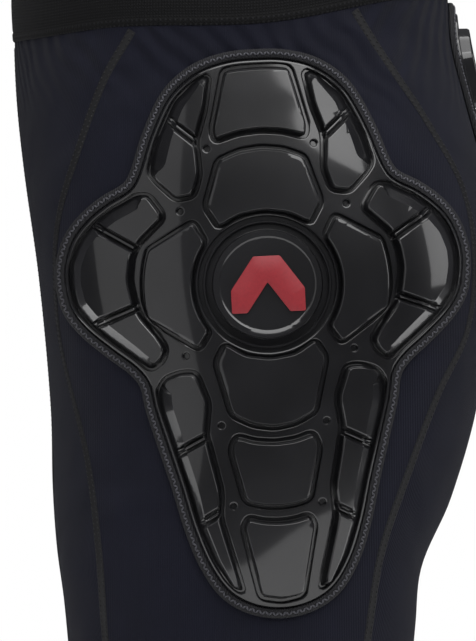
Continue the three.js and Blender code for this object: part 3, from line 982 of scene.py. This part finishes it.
def panel_grid(bm, columns, rows, place):
    """A grid of faces; place(i, j) gives the point of a column and row."""
    verts = [[bm.verts.new(place(i, j)) for i in range(columns + 1)] for j in range(rows + 1)]
    for j in range(rows):
        for i in range(columns):
            bm.faces.new((verts[j][i], verts[j][i + 1], verts[j + 1][i + 1], verts[j + 1][i]))
    return verts


def thickened(bm, thickness):
    """Gives a single surface its thickness, inwards, and closes it."""
    bmesh.ops.recalc_face_normals(bm, faces=bm.faces)
    out = sum(f.normal.dot(f.calc_center_median() - body_axis(f)) * f.calc_area() for f in bm.faces)
    if out < 0:
        bmesh.ops.reverse_faces(bm, faces=bm.faces)
    bmesh.ops.solidify(bm, geom=bm.faces[:], thickness=thickness)
    bmesh.ops.recalc_face_normals(bm, faces=bm.faces)


def body_axis(face):
    """The point of the body's or the leg's axis at a face's height."""
    at = face.calc_center_median()
    return Vector((body_centre(at.z), -5, at.z))


def panel_low():
    return HEM_TOP - 2


def side_panel(jersey):
    bm = bmesh.new()
    rows, columns = 84, 48

    def place(i, j):
        share = i / columns
        y = 0.0
        for _ in range(3):
            top = waist_z(y) + 1
            z = panel_low() + (top - panel_low()) * j / rows
            y = seam_y(front_seam, z) * (1 - share) + seam_y(rear_seam, z) * share
        return off_side(y, z, wrinkle(y, z))

    panel_grid(bm, columns, rows, place)
    thickened(bm, sizes().cloth)
    return both_sides("side_panel_cloth", bm, jersey, ["side_panel"], 60)


def end_turn(z, sign):
    """The turn where a front or rear panel ends: the middle of the body, or the inside of the leg."""
    if skin_turn(sign * 179.9, z).x >= 0:
        return sign * 179.9
    low, high = 88.0, 179.9
    for _ in range(24):
        middle = (low + high) / 2
        if skin_turn(sign * middle, z).x > 0:
            low = middle
        else:
            high = middle
    return sign * high


def tabled(function, low, high, steps=180):
    """A function of height, worked out at steps and read between them."""
    values = [function(low + (high - low) * k / steps) for k in range(steps + 1)]

    def value(z):
        at = min(max((z - low) / (high - low), 0.0), 1.0) * steps
        k = min(int(at), steps - 1)
        return values[k] + (values[k + 1] - values[k]) * (at - k)

    return value


def middle_panel(name, jersey, rear):
    """A front or rear panel, from its seam with the side panel round to the middle and inner leg."""
    bm = bmesh.new()
    rows, columns = 100, 40
    seam = rear_seam if rear else front_seam
    sign = 1 if rear else -1
    ends = panel_low() - 1, WAIST_Z + 32
    first_turn = tabled(lambda z: turn_of(seam_y(seam, z), z), *ends)
    last_turn = tabled(lambda z: sign * min(179.95, abs(end_turn(z, sign)) + 14), *ends)

    def place(i, j):
        depth = sign * 90
        for _ in range(3):
            z = panel_low() + (waist_z(depth) + 1 - panel_low()) * j / rows
            turn = first_turn(z) + (last_turn(z) - first_turn(z)) * i / columns
            depth = skin_turn(turn, z).y
        return off_turn(turn, z, wrinkle(depth, z) if abs(turn) < 88 else 0)

    panel_grid(bm, columns, rows, place)
    everything = bm.verts[:] + bm.edges[:] + bm.faces[:]
    bmesh.ops.bisect_plane(
        bm, geom=everything, dist=0.01, plane_co=(0, 0, 0), plane_no=(-1, 0, 0), clear_outer=True
    )
    thickened(bm, sizes().cloth)
    return both_sides(name + "_cloth", bm, jersey, [name], 60, lambda p: (p.x, p.z))


# ------------------------------------------------------------------ bands, bindings and stitches

def band_on(bm, rings):
    """A closed tube of faces through rings of points, each of them as many points round."""
    loops = [[bm.verts.new(p) for p in points] for points in rings]
    n = len(loops[0])
    for k in range(len(loops)):
        a, b = loops[k - 1], loops[k]
        for i in range(n):
            bm.faces.new((a[i - 1], a[i], b[i], b[i - 1]))
    bmesh.ops.recalc_face_normals(bm, faces=bm.faces)


def around_body(z_at, height, columns=176):
    """Points round the waist: z_at gives the height above the floor at a depth."""
    points = []
    for k in range(columns):
        angle = 360 * k / columns
        turn = angle - 90 if angle < 180 else 270 - angle
        z = z_at(0.0)
        for _ in range(2):
            z = z_at(skin_turn(turn, z).y)
        point = off_turn(turn, z, height)
        if abs(abs(turn) - 90) < 1e-6:
            point.x = 0
        points.append(point if angle < 180 else Vector((-point.x, point.y, point.z)))
    return points


def around_leg(z, height, columns=96):
    return [off_turn(-180 + 360 * k / columns, z, height) for k in range(columns)]


def round_the_body(point):
    """Flat coordinates of cloth that goes round the waist: across, and up from its lower edge."""
    return 128 * math.atan2(point.x, -point.y), point.z - waist_z(point.y)


def waistband(elastic):
    bm = bmesh.new()
    outer = [(0.0, -0.4), (0.3, 0.5), (1.2, 1.0), (4.2, 1.15), (5.2, 0.7), (6.4, 1.0), (12, 1.25), (19, 1.4),
             (26, 1.3), (33, 1.2), (36.6, 1.0), (37.7, 0.5), (38, -0.3)]
    inner = [(37.7, -1.2), (36, -1.6), (19, -1.6), (2, -1.6), (0.3, -1.1)]
    rings = [around_body(lambda y, rise=rise: waist_z(y) + rise, height) for rise, height in outer + inner]
    band_on(bm, rings)
    return finish_piece("waistband_elastic", bm, elastic, ["waistband"], 50, flat=round_the_body)


def hem_bands(elastic, silicone):
    bm = bmesh.new()
    outer = [(0.3, -0.3), (0.6, 0.5), (2, 0.9), (14, 1.1), (26, 0.9), (27.7, 0.5), (28, -0.2)]
    inner = [(27.6, -0.9), (26, -1.1), (2, -1.1), (0.6, -0.9)]
    band_on(bm, [around_leg(z * HEM_TOP / 28, height) for z, height in outer + inner])
    flat = lambda p: (70 * math.atan2(p.y, p.x - body_centre(10)), p.z)
    bands = both_sides("hem_band_knit", bm, elastic, ["hem_band"], 50, flat)
    bm = bmesh.new()
    profile = [(3, -1.45), (3.6, -2.0), (10, -2.15), (17.4, -2.0), (18, -1.45), (17.6, -1.25), (3.4, -1.25)]
    band_on(bm, [around_leg(z, height) for z, height in profile])
    return bands, both_sides("hem_gripper_strip", bm, silicone, ["hem_gripper"], 50, flat)


def strip_round(outline, profile, place):
    """A band that follows an outline: profile gives (distance outside it, height) pairs."""
    bm = bmesh.new()
    band_on(bm, [[place(u, v, height) for u, v in grown(outline, out)] for out, height in profile])
    return bm


def stitch(bm, place, at, along, length, thick):
    """One stitch of thread, lying on a flat plan."""
    angle = math.atan2(along[1], along[0])
    shape = Matrix.LocRotScale(
        Vector(at), Matrix.Rotation(angle, 3, "Z").to_quaternion(), Vector((length / 2, thick / 2, thick / 2))
    )
    made = bmesh.ops.create_icosphere(bm, subdivisions=1, radius=1.0, matrix=shape)
    for vert in made["verts"]:
        vert.co = place(*vert.co)


def zigzag_round(outline, out, height, place, swing=2.0):
    """Zigzag stitches along the middle of a band that follows an outline."""
    bm = bmesh.new()
    pitch = sizes().zigzag
    path = grown(outline, out)
    lengths = [0.0]
    for i in range(len(path)):
        lengths.append(lengths[-1] + (Vector(path[(i + 1) % len(path)]) - Vector(path[i])).length)
    count = round(lengths[-1] / pitch)
    k = 0
    for n in range(count):
        far = lengths[-1] * n / count
        while lengths[k + 1] < far:
            k += 1
        a, b = Vector(path[k]), Vector(path[(k + 1) % len(path)])
        at = a.lerp(b, (far - lengths[k]) / max(lengths[k + 1] - lengths[k], 1e-6))
        along = (b - a).normalized()
        across = Vector((along.y, -along.x))
        for sign in (1, -1):
            middle = at + along * (pitch * 0.25 * sign)
            turned = along * (pitch * 0.5) + across * (swing * sign)
            stitch(bm, place, (middle.x, middle.y, height), turned, turned.length * 1.05, 1.15)
    return bm


def hip_binding(tape, thread):
    bm = strip_round(HIP_OUTLINE, BINDING_PROFILE, hip_place)
    band = both_sides("hip_binding_tape", bm, tape, ["hip_binding"], 50)
    bm = zigzag_round(HIP_OUTLINE, 3.1, 1.75, hip_place)
    return band, both_sides("hip_binding_thread", bm, thread, smooth_below=80)


def hip_backing(cloth):
    bm = backing_plate(grown(HIP_OUTLINE, 4.6), hip_place, (-104, -168), (104, 118))
    return both_sides("hip_backing_cloth", bm, cloth, ["hip_backing"], 40)


def hip_emblem(rubber):
    """The flat marker on the boss: a plain chevron."""
    bm = bmesh.new()
    outline = softened(anticlockwise(EMBLEM), 0.8, 3, 3)
    base = ring(bm, outline, CELL - 0.7)
    top = rise(bm, base, [(outline, CELL + 0.3), (inset(outline, [0.35] * len(outline)), CELL + 0.55)])
    fill_between(bm, base, [])
    fill_between(bm, top, [])
    lay_on(bm, hip_place)
    return both_sides("hip_emblem_chevron", bm, rubber, ["hip_emblem"], 40)


# ------------------------------------------------------------------ the tailbone pad

def turn_at(x, z):
    """The turn on the rear of the body at which the skin is this far from the middle."""
    low, high = 0.0, 90.0
    for _ in range(26):
        turn = (low + high) / 2
        if skin_turn(turn, z).x > x:
            low = turn
        else:
            high = turn
    return (low + high) / 2


def tail_place(u, v, height):
    """A point of the flat tailbone pad, laid on the seat."""
    z = TAIL_Z + v
    point = off_turn(turn_at(abs(u), z), z, BED + height)
    if abs(u) < 0.01:
        point.x = 0
    return Vector((math.copysign(point.x, u), point.y, point.z))


def rear_normal(point):
    """The body's outward direction beside a point of the tailbone pad."""
    turn = turn_at(abs(point.x), point.z)
    normal = off_turn(turn, point.z, 1.0) - off_turn(turn, point.z, 0.0)
    return Vector((math.copysign(normal.x, point.x), normal.y, normal.z)).normalized()


def tail_shell(film):
    bm = bmesh.new()
    plain, wanted, stands = [], [], []
    for outline in TAIL_CELLS:
        plain.append(softened(anticlockwise(outline), 3.0))
        wanted.append(1.4)
        stands.append([dict(base=plain[-1], draft=1.6)])
    for outline in (TAIL_SIDE, TAIL_LOW):
        for turned in (anticlockwise(outline), anticlockwise(swapped(outline))):
            plain.append(softened(anticlockwise(turned), 3.0))
            wanted.append(1.4)
            stands.append([dict(base=plain[-1], border=TAIL_OUTLINE, slope=6.0, draft=1.6)])
    spaced = spread(plain, wanted, TAIL_OUTLINE)
    hollows = [(outline, [stand(bm, cell) for cell in cells]) for outline, cells in zip(spaced, stands)]
    add_web(bm, TAIL_OUTLINE, hollows)
    grid_cut(bm, 7.0, (-58, -66), (58, 63))
    close_back(bm)
    lay_on(bm, tail_place)
    nodes = ["tailbone_shell"] + ["tailbone_foam_" + n for n in (
        "upper_left", "upper_right", "centre", "lower_left", "lower_right", "tip"
    )]
    return finish_piece("tailbone_shell_film", bm, film, nodes, 32, skin=rear_normal)


BINDING_PROFILE = [
    (0.7, -0.6), (0.7, 0.7), (1.0, 1.3), (1.8, 1.6), (3.2, 1.65), (4.6, 1.5), (5.4, 1.0), (5.6, 0.2), (5.6, -0.7),
]


def tail_binding(tape, thread):
    bm = strip_round(TAIL_OUTLINE, BINDING_PROFILE, tail_place)
    band = finish_piece("tailbone_binding_tape", bm, tape, ["tailbone_binding"], 50)
    bm = zigzag_round(TAIL_OUTLINE, 3.1, 1.75, tail_place)
    return band, finish_piece("tailbone_binding_thread", bm, thread, smooth_below=80)


def backing_plate(outline, place, low, high):
    """A thin plate of cloth under a pad."""
    bm = bmesh.new()
    base = ring(bm, outline, -0.9)
    top = rise(bm, base, [(outline, -0.3)])
    fill_between(bm, base, [])
    fill_between(bm, top, [])
    grid_cut(bm, 8.0, low, high)
    lay_on(bm, place)
    return bm


def tail_backing(cloth):
    bm = backing_plate(grown(TAIL_OUTLINE, 4.6), tail_place, (-62, -70), (62, 66))
    return finish_piece("tailbone_backing_cloth", bm, cloth, ["tailbone_backing"], 40)


# ------------------------------------------------------------------ stitched seams

def thread_line(bm, points, normals, aside, length=1.9, thick=0.55, out=0.3):
    """A row of stitches beside a line of points."""
    for i in range(len(points) - 1):
        along = (points[i + 1] - points[i]).normalized()
        across = normals[i].cross(along).normalized()
        turn = Matrix((along, across, along.cross(across))).transposed()
        at = (points[i] + points[i + 1]) / 2 + across * aside + normals[i] * out
        shape = Matrix.LocRotScale(at, turn.to_quaternion(), Vector((length / 2, thick, thick * 0.8)))
        bmesh.ops.create_icosphere(bm, subdivisions=1, radius=1.0, matrix=shape)


def seam_strip(bm, points, normals, half=2.4, out=0.35):
    """The flat cover of a seam: a low rounded ribbon along a line of points."""
    profile = [(-half, -0.3), (-half, 0.1), (-half * 0.7, out), (-0.5, out * 0.8), (0.5, out * 0.8),
               (half * 0.7, out), (half, 0.1), (half, -0.3)]
    rings = []
    for i, point in enumerate(points):
        a, b = points[max(i - 1, 0)], points[min(i + 1, len(points) - 1)]
        across = normals[i].cross(b - a).normalized()
        rings.append([bm.verts.new(point + across * side + normals[i] * high) for side, high in profile])
    n = len(profile)
    for a, b in zip(rings, rings[1:]):
        for i in range(n):
            bm.faces.new((a[i - 1], a[i], b[i], b[i - 1]))
    bm.faces.new(rings[0])
    bm.faces.new(rings[-1][::-1])


def seam_course(kind):
    """The points and outward directions along one seam of the left half."""
    points, normals = [], []
    z = HEM_TOP + 1
    while True:
        if kind in ("front", "rear"):
            y = seam_y(front_seam if kind == "front" else rear_seam, z)
            point, above = off_side(y, z, wrinkle(y, z)), off_side(y, z, wrinkle(y, z) + 1)
        else:
            sign = 1 if kind == "centre_rear" else -1
            point, above = off_turn(sign * 90, z, 0.0), off_turn(sign * 90, z, 1.0)
            point.x = above.x = 0
        if point.z > waist_z(point.y) - 0.5:
            break
        if not kind.startswith("centre") or z > CROTCH_Z + 34:
            points.append(point)
            normals.append((above - point).normalized())
        z += sizes().stitch
    return points, normals


def seams(thread):
    """Flat-locked seams: a low cover with two rows of stitches, on both sides and down the middle."""
    for kind in ("front", "rear"):
        points, normals = seam_course(kind)
        bm = bmesh.new()
        seam_strip(bm, points, normals)
        both_sides(kind + "_seam_cover", bm, thread, smooth_below=60)
        bm = bmesh.new()
        for aside in (-1.5, 1.5):
            thread_line(bm, points, normals, aside)
        both_sides(kind + "_seam_thread", bm, thread, smooth_below=80)
    for kind in ("centre_front", "centre_rear"):
        points, normals = seam_course(kind)
        if kind == "centre_rear":
            kept = [i for i, p in enumerate(points) if p.z < TAIL_Z - 70]
            points, normals = [points[i] for i in kept], [normals[i] for i in kept]
        bm = bmesh.new()
        seam_strip(bm, points, normals)
        finish_piece(kind + "_seam_cover", bm, thread, smooth_below=60)
        bm = bmesh.new()
        for aside in (-1.5, 1.5):
            thread_line(bm, points, normals, aside, out=0.05)
        finish_piece(kind + "_seam_thread", bm, thread, smooth_below=80)


# ------------------------------------------------------------------ gusset and care label

def crotch_gusset(jersey):
    """The diamond under the crotch, a little proud of the panels that it joins."""
    bm = bmesh.new()
    columns, rows, reach, drop = 36, 18, 56.0, 70.0
    middle = -10.0

    def place(i, j):
        share = -1 + 2 * i / columns
        y = middle + reach * share * 0.98
        low_z = CROTCH_Z - drop * (1 - abs(share)) - 1
        high, low = CROTCH_Z + 60.0, low_z
        for _ in range(24):
            z = (low + high) / 2
            if skin_side(y, z, -1) > 0:
                low = z
            else:
                high = z
        z = low_z + (low - low_z) * j / rows
        x = skin_side(y, z, -1)
        tuck = 0.45 * min(1.0, x / 2.0)
        return Vector((max(0.0, x - tuck) if j < rows else 0.0, y, z - 0.45))

    panel_grid(bm, columns, rows, place)
    other = bmesh.ops.duplicate(bm, geom=bm.verts[:] + bm.edges[:] + bm.faces[:])["geom"]
    for vert in other:
        if isinstance(vert, bmesh.types.BMVert):
            vert.co.x = -vert.co.x
    bmesh.ops.remove_doubles(bm, verts=bm.verts, dist=0.01)
    bmesh.ops.recalc_face_normals(bm, faces=bm.faces)
    down = sum(f.normal.z * f.calc_area() for f in bm.faces)
    if down > 0:
        bmesh.ops.reverse_faces(bm, faces=bm.faces)
    bmesh.ops.solidify(bm, geom=bm.faces[:], thickness=0.8)
    bmesh.ops.recalc_face_normals(bm, faces=bm.faces)
    return finish_piece("crotch_gusset_cloth", bm, jersey, ["crotch_gusset"], 60)


def care_label(cloth):
    """A blank label sewn inside the waistband, at the rear."""
    bm = bmesh.new()
    middle = waist_z(96) + BAND_HEIGHT / 2

    def place(i, j):
        x = -22 + 44 * i / 16
        z = middle - 13 + 26 * j / 8
        point = off_turn(turn_at(abs(x), z), z, -2.1 - 0.25 * math.sin(math.pi * j / 8))
        return Vector((x, point.y, z))

    panel_grid(bm, 16, 8, place)
    bmesh.ops.recalc_face_normals(bm, faces=bm.faces)
    bmesh.ops.solidify(bm, geom=bm.faces[:], thickness=0.6)
    bmesh.ops.recalc_face_normals(bm, faces=bm.faces)
    return finish_piece("care_label_cloth", bm, cloth, ["care_label"], 50, flat=lambda p: (p.x, p.z))


# ------------------------------------------------------------------ floor, light and camera

def softbox(name, place, towards, size, power, colour=(1, 1, 1)):
    data = bpy.data.lights.new(name, "AREA")
    data.shape = "RECTANGLE"
    data.size, data.size_y = size
    data.energy = power
    data.color = colour
    lamp = bpy.data.objects.new(name, data)
    bpy.context.scene.collection.objects.link(lamp)
    lamp.location = place
    lamp.rotation_mode = "QUATERNION"
    lamp.rotation_quaternion = (Vector(towards) - Vector(place)).to_track_quat("-Z", "Y")
    return lamp


FLOOR_RADIUS = 1.0


def floor_material(colour):
    """Pale matt paper."""
    m = Sheet("floor_paper", Specular_IOR_Level=0.2)
    grain = m.noise(m.place(), 0.5)
    m.put("Base Color", m.mix(grain, shade(colour, 0.97), shade(colour, 1.0)))
    m.put("Roughness", 0.8 + 0.1 * grain)
    return m.material


def studio(azimuth, elevation, distance):
    """A pale floor, a bright overhead softbox, one at the left, and the camera."""
    scene = bpy.context.scene
    bm = bmesh.new()
    bmesh.ops.create_circle(bm, cap_ends=True, segments=96, radius=FLOOR_RADIUS)
    mesh = bpy.data.meshes.new("floor")
    bm.to_mesh(mesh)
    bm.free()
    floor = bpy.data.objects.new("floor", mesh)
    scene.collection.objects.link(floor)
    mesh.materials.append(floor_material(tone(240, 240, 240)))
    floor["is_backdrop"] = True
    world = bpy.data.worlds.new("studio")
    scene.world = world
    scene.view_settings.view_transform = "Standard"
    world.use_nodes = True
    tree = world.node_tree
    path = tree.nodes.new("ShaderNodeLightPath")
    mixed = tree.nodes.new("ShaderNodeMix")
    mixed.data_type = "RGBA"
    tree.links.new(path.outputs["Is Camera Ray"], mixed.inputs[0])
    mixed.inputs[6].default_value = (0.05, 0.05, 0.055, 1)
    mixed.inputs[7].default_value = (1, 1, 1, 1)
    tree.links.new(mixed.outputs[2], tree.nodes["Background"].inputs["Color"])
    pad = Vector((0.17, CENTRE_Y * MM, HIP_Z * MM))
    softbox("front_softbox", pad + Vector((1.14, 0.24, 1.12)), pad, (1.95, 1.3), 27)
    softbox("left_softbox", pad + Vector((0.87, -1.34, 0.1)), pad, (1.65, 1.9), 5.5)
    softbox("rear_softbox", pad + Vector((0.3, 1.5, 0.5)), pad, (0.5, 1.0), 3.5)
    softbox("top_softbox", Vector((0, 0, 3.2)), Vector((0, 0.001, 0)), (4, 4), 110)
    camera = bpy.data.objects.new("camera", bpy.data.cameras.new("camera"))
    scene.collection.objects.link(camera)
    scene.camera = camera
    camera.data.sensor_width = 36
    camera.data.lens = 36 * distance / 0.3205
    level = Vector((math.sin(azimuth), -math.cos(azimuth), 0))
    back = level * math.cos(elevation) + Vector((0, 0, math.sin(elevation)))
    right = Vector((math.cos(azimuth), math.sin(azimuth), 0))
    aim = pad + right * -0.0145 + back.cross(right) * -0.01825
    camera.location = aim + back * distance
    camera.rotation_mode = "QUATERNION"
    camera.rotation_quaternion = back.to_track_quat("Z", "Y")
    return floor


# ------------------------------------------------------------------ what a user can change

def colour_choice(name, description, colour):
    return bpy.props.FloatVectorProperty(
        name=name, description=description, default=colour, subtype="COLOR", size=4, min=0, max=1
    )


class ShortsColours(bpy.types.PropertyGroup):
    """The colours of the garment's finishes."""

    film: colour_choice("Pad film", "The moulded film over the pads", tone(18, 18, 20))
    jersey: colour_choice("Jersey", "The knitted panels", tone(19, 20, 31))
    elastic: colour_choice("Elastic", "The waistband and the hems", tone(11, 11, 13))
    binding: colour_choice("Binding", "The tape round the pads", tone(20, 20, 24))
    thread: colour_choice("Binding thread", "The zigzag stitches on the binding", tone(62, 62, 68))
    seam: colour_choice("Seam thread", "The stitches of the garment's seams", tone(6, 6, 10))
    emblem: colour_choice("Emblem", "The chevron on the boss", tone(132, 30, 38))


class ShortsSizes(bpy.types.PropertyGroup):
    """The sizes of what is sewn and moulded onto the garment, in millimetres."""

    cloth: bpy.props.FloatProperty(
        name="Jersey thickness", description="How thick the knitted panels are", default=1.2, min=0.5, max=3
    )
    zigzag: bpy.props.FloatProperty(
        name="Zigzag pitch", description="From one zigzag stitch to the next", default=3.4, min=2, max=8
    )
    stitch: bpy.props.FloatProperty(
        name="Seam stitch", description="From one seam stitch to the next", default=2.6, min=1.5, max=8
    )
    pulls: bpy.props.FloatProperty(
        name="Pulls", description="How strong the soft pulls in the jersey are", default=1.0, min=0, max=3,
        subtype="FACTOR",
    )


class ShortsStage(bpy.types.PropertyGroup):
    """Where the camera stands."""

    azimuth: bpy.props.FloatProperty(
        name="Azimuth", description="Round the garment: 0 faces its front and 90 its left side",
        default=math.radians(88), subtype="ANGLE", unit="ROTATION",
    )
    elevation: bpy.props.FloatProperty(
        name="Elevation", description="Above the horizon", default=math.radians(1.5), subtype="ANGLE",
        unit="ROTATION",
    )
    distance: bpy.props.FloatProperty(
        name="Distance", description="From the hip pad to the camera", default=4.0, min=1, subtype="DISTANCE",
        unit="LENGTH",
    )


FINISHES = {
    "film": lambda c: film_material(c.film),
    "jersey": lambda c: jersey_material(c.jersey),
    "elastic": lambda c: elastic_material(c.elastic),
    "tape": lambda c: ribbed_material("binding_tape", c.binding, 1.1, 0.72, 0.0002),
    "thread": lambda c: plain_material("binding_thread", c.thread, 0.42),
    "seam": lambda c: plain_material("seam_thread", c.seam, 0.6),
    "silicone": lambda c: plain_material("gripper_silicone", tone(60, 60, 64), 0.4),
    "backing": lambda c: ribbed_material("backing_cloth", tone(30, 30, 36), 1.4, 0.8, 0.0002),
    "emblem": lambda c: plain_material("emblem_rubber", c.emblem, 0.45),
    "label": lambda c: ribbed_material("label_satin", tone(52, 52, 56), 0.8, 0.5, 0.0001),
}
made_finishes = {}


def finish(name):
    """A finish by its name, made the first time it is asked for."""
    if name not in made_finishes:
        made_finishes[name] = FINISHES[name](bpy.context.scene.shorts_colours)
    return made_finishes[name]


def declare_cloth(pieces):
    """Goes through pieces of cloth and does nothing with them."""
    for piece in pieces:
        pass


class SHORTS_OT_jersey(bpy.types.Operator):
    """Builds the side, front and back panels, the crotch gusset and the stitched seams"""

    bl_idname = "shorts.jersey"
    bl_label = "Jersey panels and seams"

    def execute(self, context):
        jersey = finish("jersey")
        declare_cloth(side_panel(jersey))
        declare_cloth(middle_panel("front_panel", jersey, False))
        declare_cloth(middle_panel("back_panel", jersey, True))
        declare_cloth([crotch_gusset(jersey)])
        seams(finish("seam"))
        return {"FINISHED"}


class SHORTS_OT_waistband(bpy.types.Operator):
    """Builds the elastic waistband and the blank care label inside it"""

    bl_idname = "shorts.waistband"
    bl_label = "Waistband and label"

    def execute(self, context):
        declare_cloth([waistband(finish("elastic"))])
        declare_cloth([care_label(finish("label"))])
        return {"FINISHED"}


class SHORTS_OT_hems(bpy.types.Operator):
    """Builds the hem bands and the silicone strips that grip the thigh"""

    bl_idname = "shorts.hems"
    bl_label = "Hems and grippers"

    def execute(self, context):
        bands, _ = hem_bands(finish("elastic"), finish("silicone"))
        declare_cloth(bands[:1])
        declare_cloth(bands[1:])
        return {"FINISHED"}


class SHORTS_OT_hip_pads(bpy.types.Operator):
    """Builds the moulded hip pads, their backing, binding, stitches and emblem"""

    bl_idname = "shorts.hip_pads"
    bl_label = "Hip pads"

    def execute(self, context):
        for piece in hip_shell(finish("film")):
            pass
        hip_binding(finish("tape"), finish("thread"))
        for piece, side in zip(hip_backing(finish("backing")), ("left", "right")):
            declare_cloth([piece])
        hip_emblem(finish("emblem"))
        return {"FINISHED"}


class SHORTS_OT_tailbone_pad(bpy.types.Operator):
    """Builds the tailbone pad, its backing, binding and stitches"""

    bl_idname = "shorts.tailbone_pad"
    bl_label = "Tailbone pad"

    def execute(self, context):
        tail_shell(finish("film"))
        tail_binding(finish("tape"), finish("thread"))
        backing = tail_backing(finish("backing"))
        declare_cloth([backing])
        return {"FINISHED"}


class SHORTS_OT_stage(bpy.types.Operator):
    """Sets up the floor, the softboxes and the camera"""

    bl_idname = "shorts.stage"
    bl_label = "Stage"

    def execute(self, context):
        stage = context.scene.shorts_stage
        studio(stage.azimuth, stage.elevation, stage.distance)
        return {"FINISHED"}


PIECES = (
    SHORTS_OT_jersey, SHORTS_OT_waistband, SHORTS_OT_hems, SHORTS_OT_hip_pads, SHORTS_OT_tailbone_pad,
    SHORTS_OT_stage,
)


class SHORTS_PT_panel(bpy.types.Panel):
    """Lists what can be changed and built"""

    bl_idname = "SHORTS_PT_panel"
    bl_label = "Padded impact shorts"
    bl_space_type = "VIEW_3D"
    bl_region_type = "UI"
    bl_category = "Shorts"

    def draw(self, context):
        scene = context.scene
        for group in (scene.shorts_colours, scene.shorts_sizes, scene.shorts_stage):
            box = self.layout.box()
            for key in type(group).__annotations__:
                box.prop(group, key)
        for piece in PIECES:
            self.layout.operator(piece.bl_idname)


GROUPS = {"shorts_colours": ShortsColours, "shorts_sizes": ShortsSizes, "shorts_stage": ShortsStage}
CLASSES = (*GROUPS.values(), *PIECES, SHORTS_PT_panel)


def register():
    for item in CLASSES:
        bpy.utils.register_class(item)
    for name, group in GROUPS.items():
        setattr(bpy.types.Scene, name, bpy.props.PointerProperty(type=group))


def unregister():
    for name in GROUPS:
        delattr(bpy.types.Scene, name)
    for item in reversed(CLASSES):
        bpy.utils.unregister_class(item)


def main():
    register()
    for piece in PIECES:
        category, name = piece.bl_idname.split(".")
        getattr(getattr(bpy.ops, category), name)()
    boxes = {"cad": CAD_BOX, "visual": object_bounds()}
    {name: [list(corner) for corner in box] for name, box in boxes.items()}


if __name__ == "__main__":
    main()
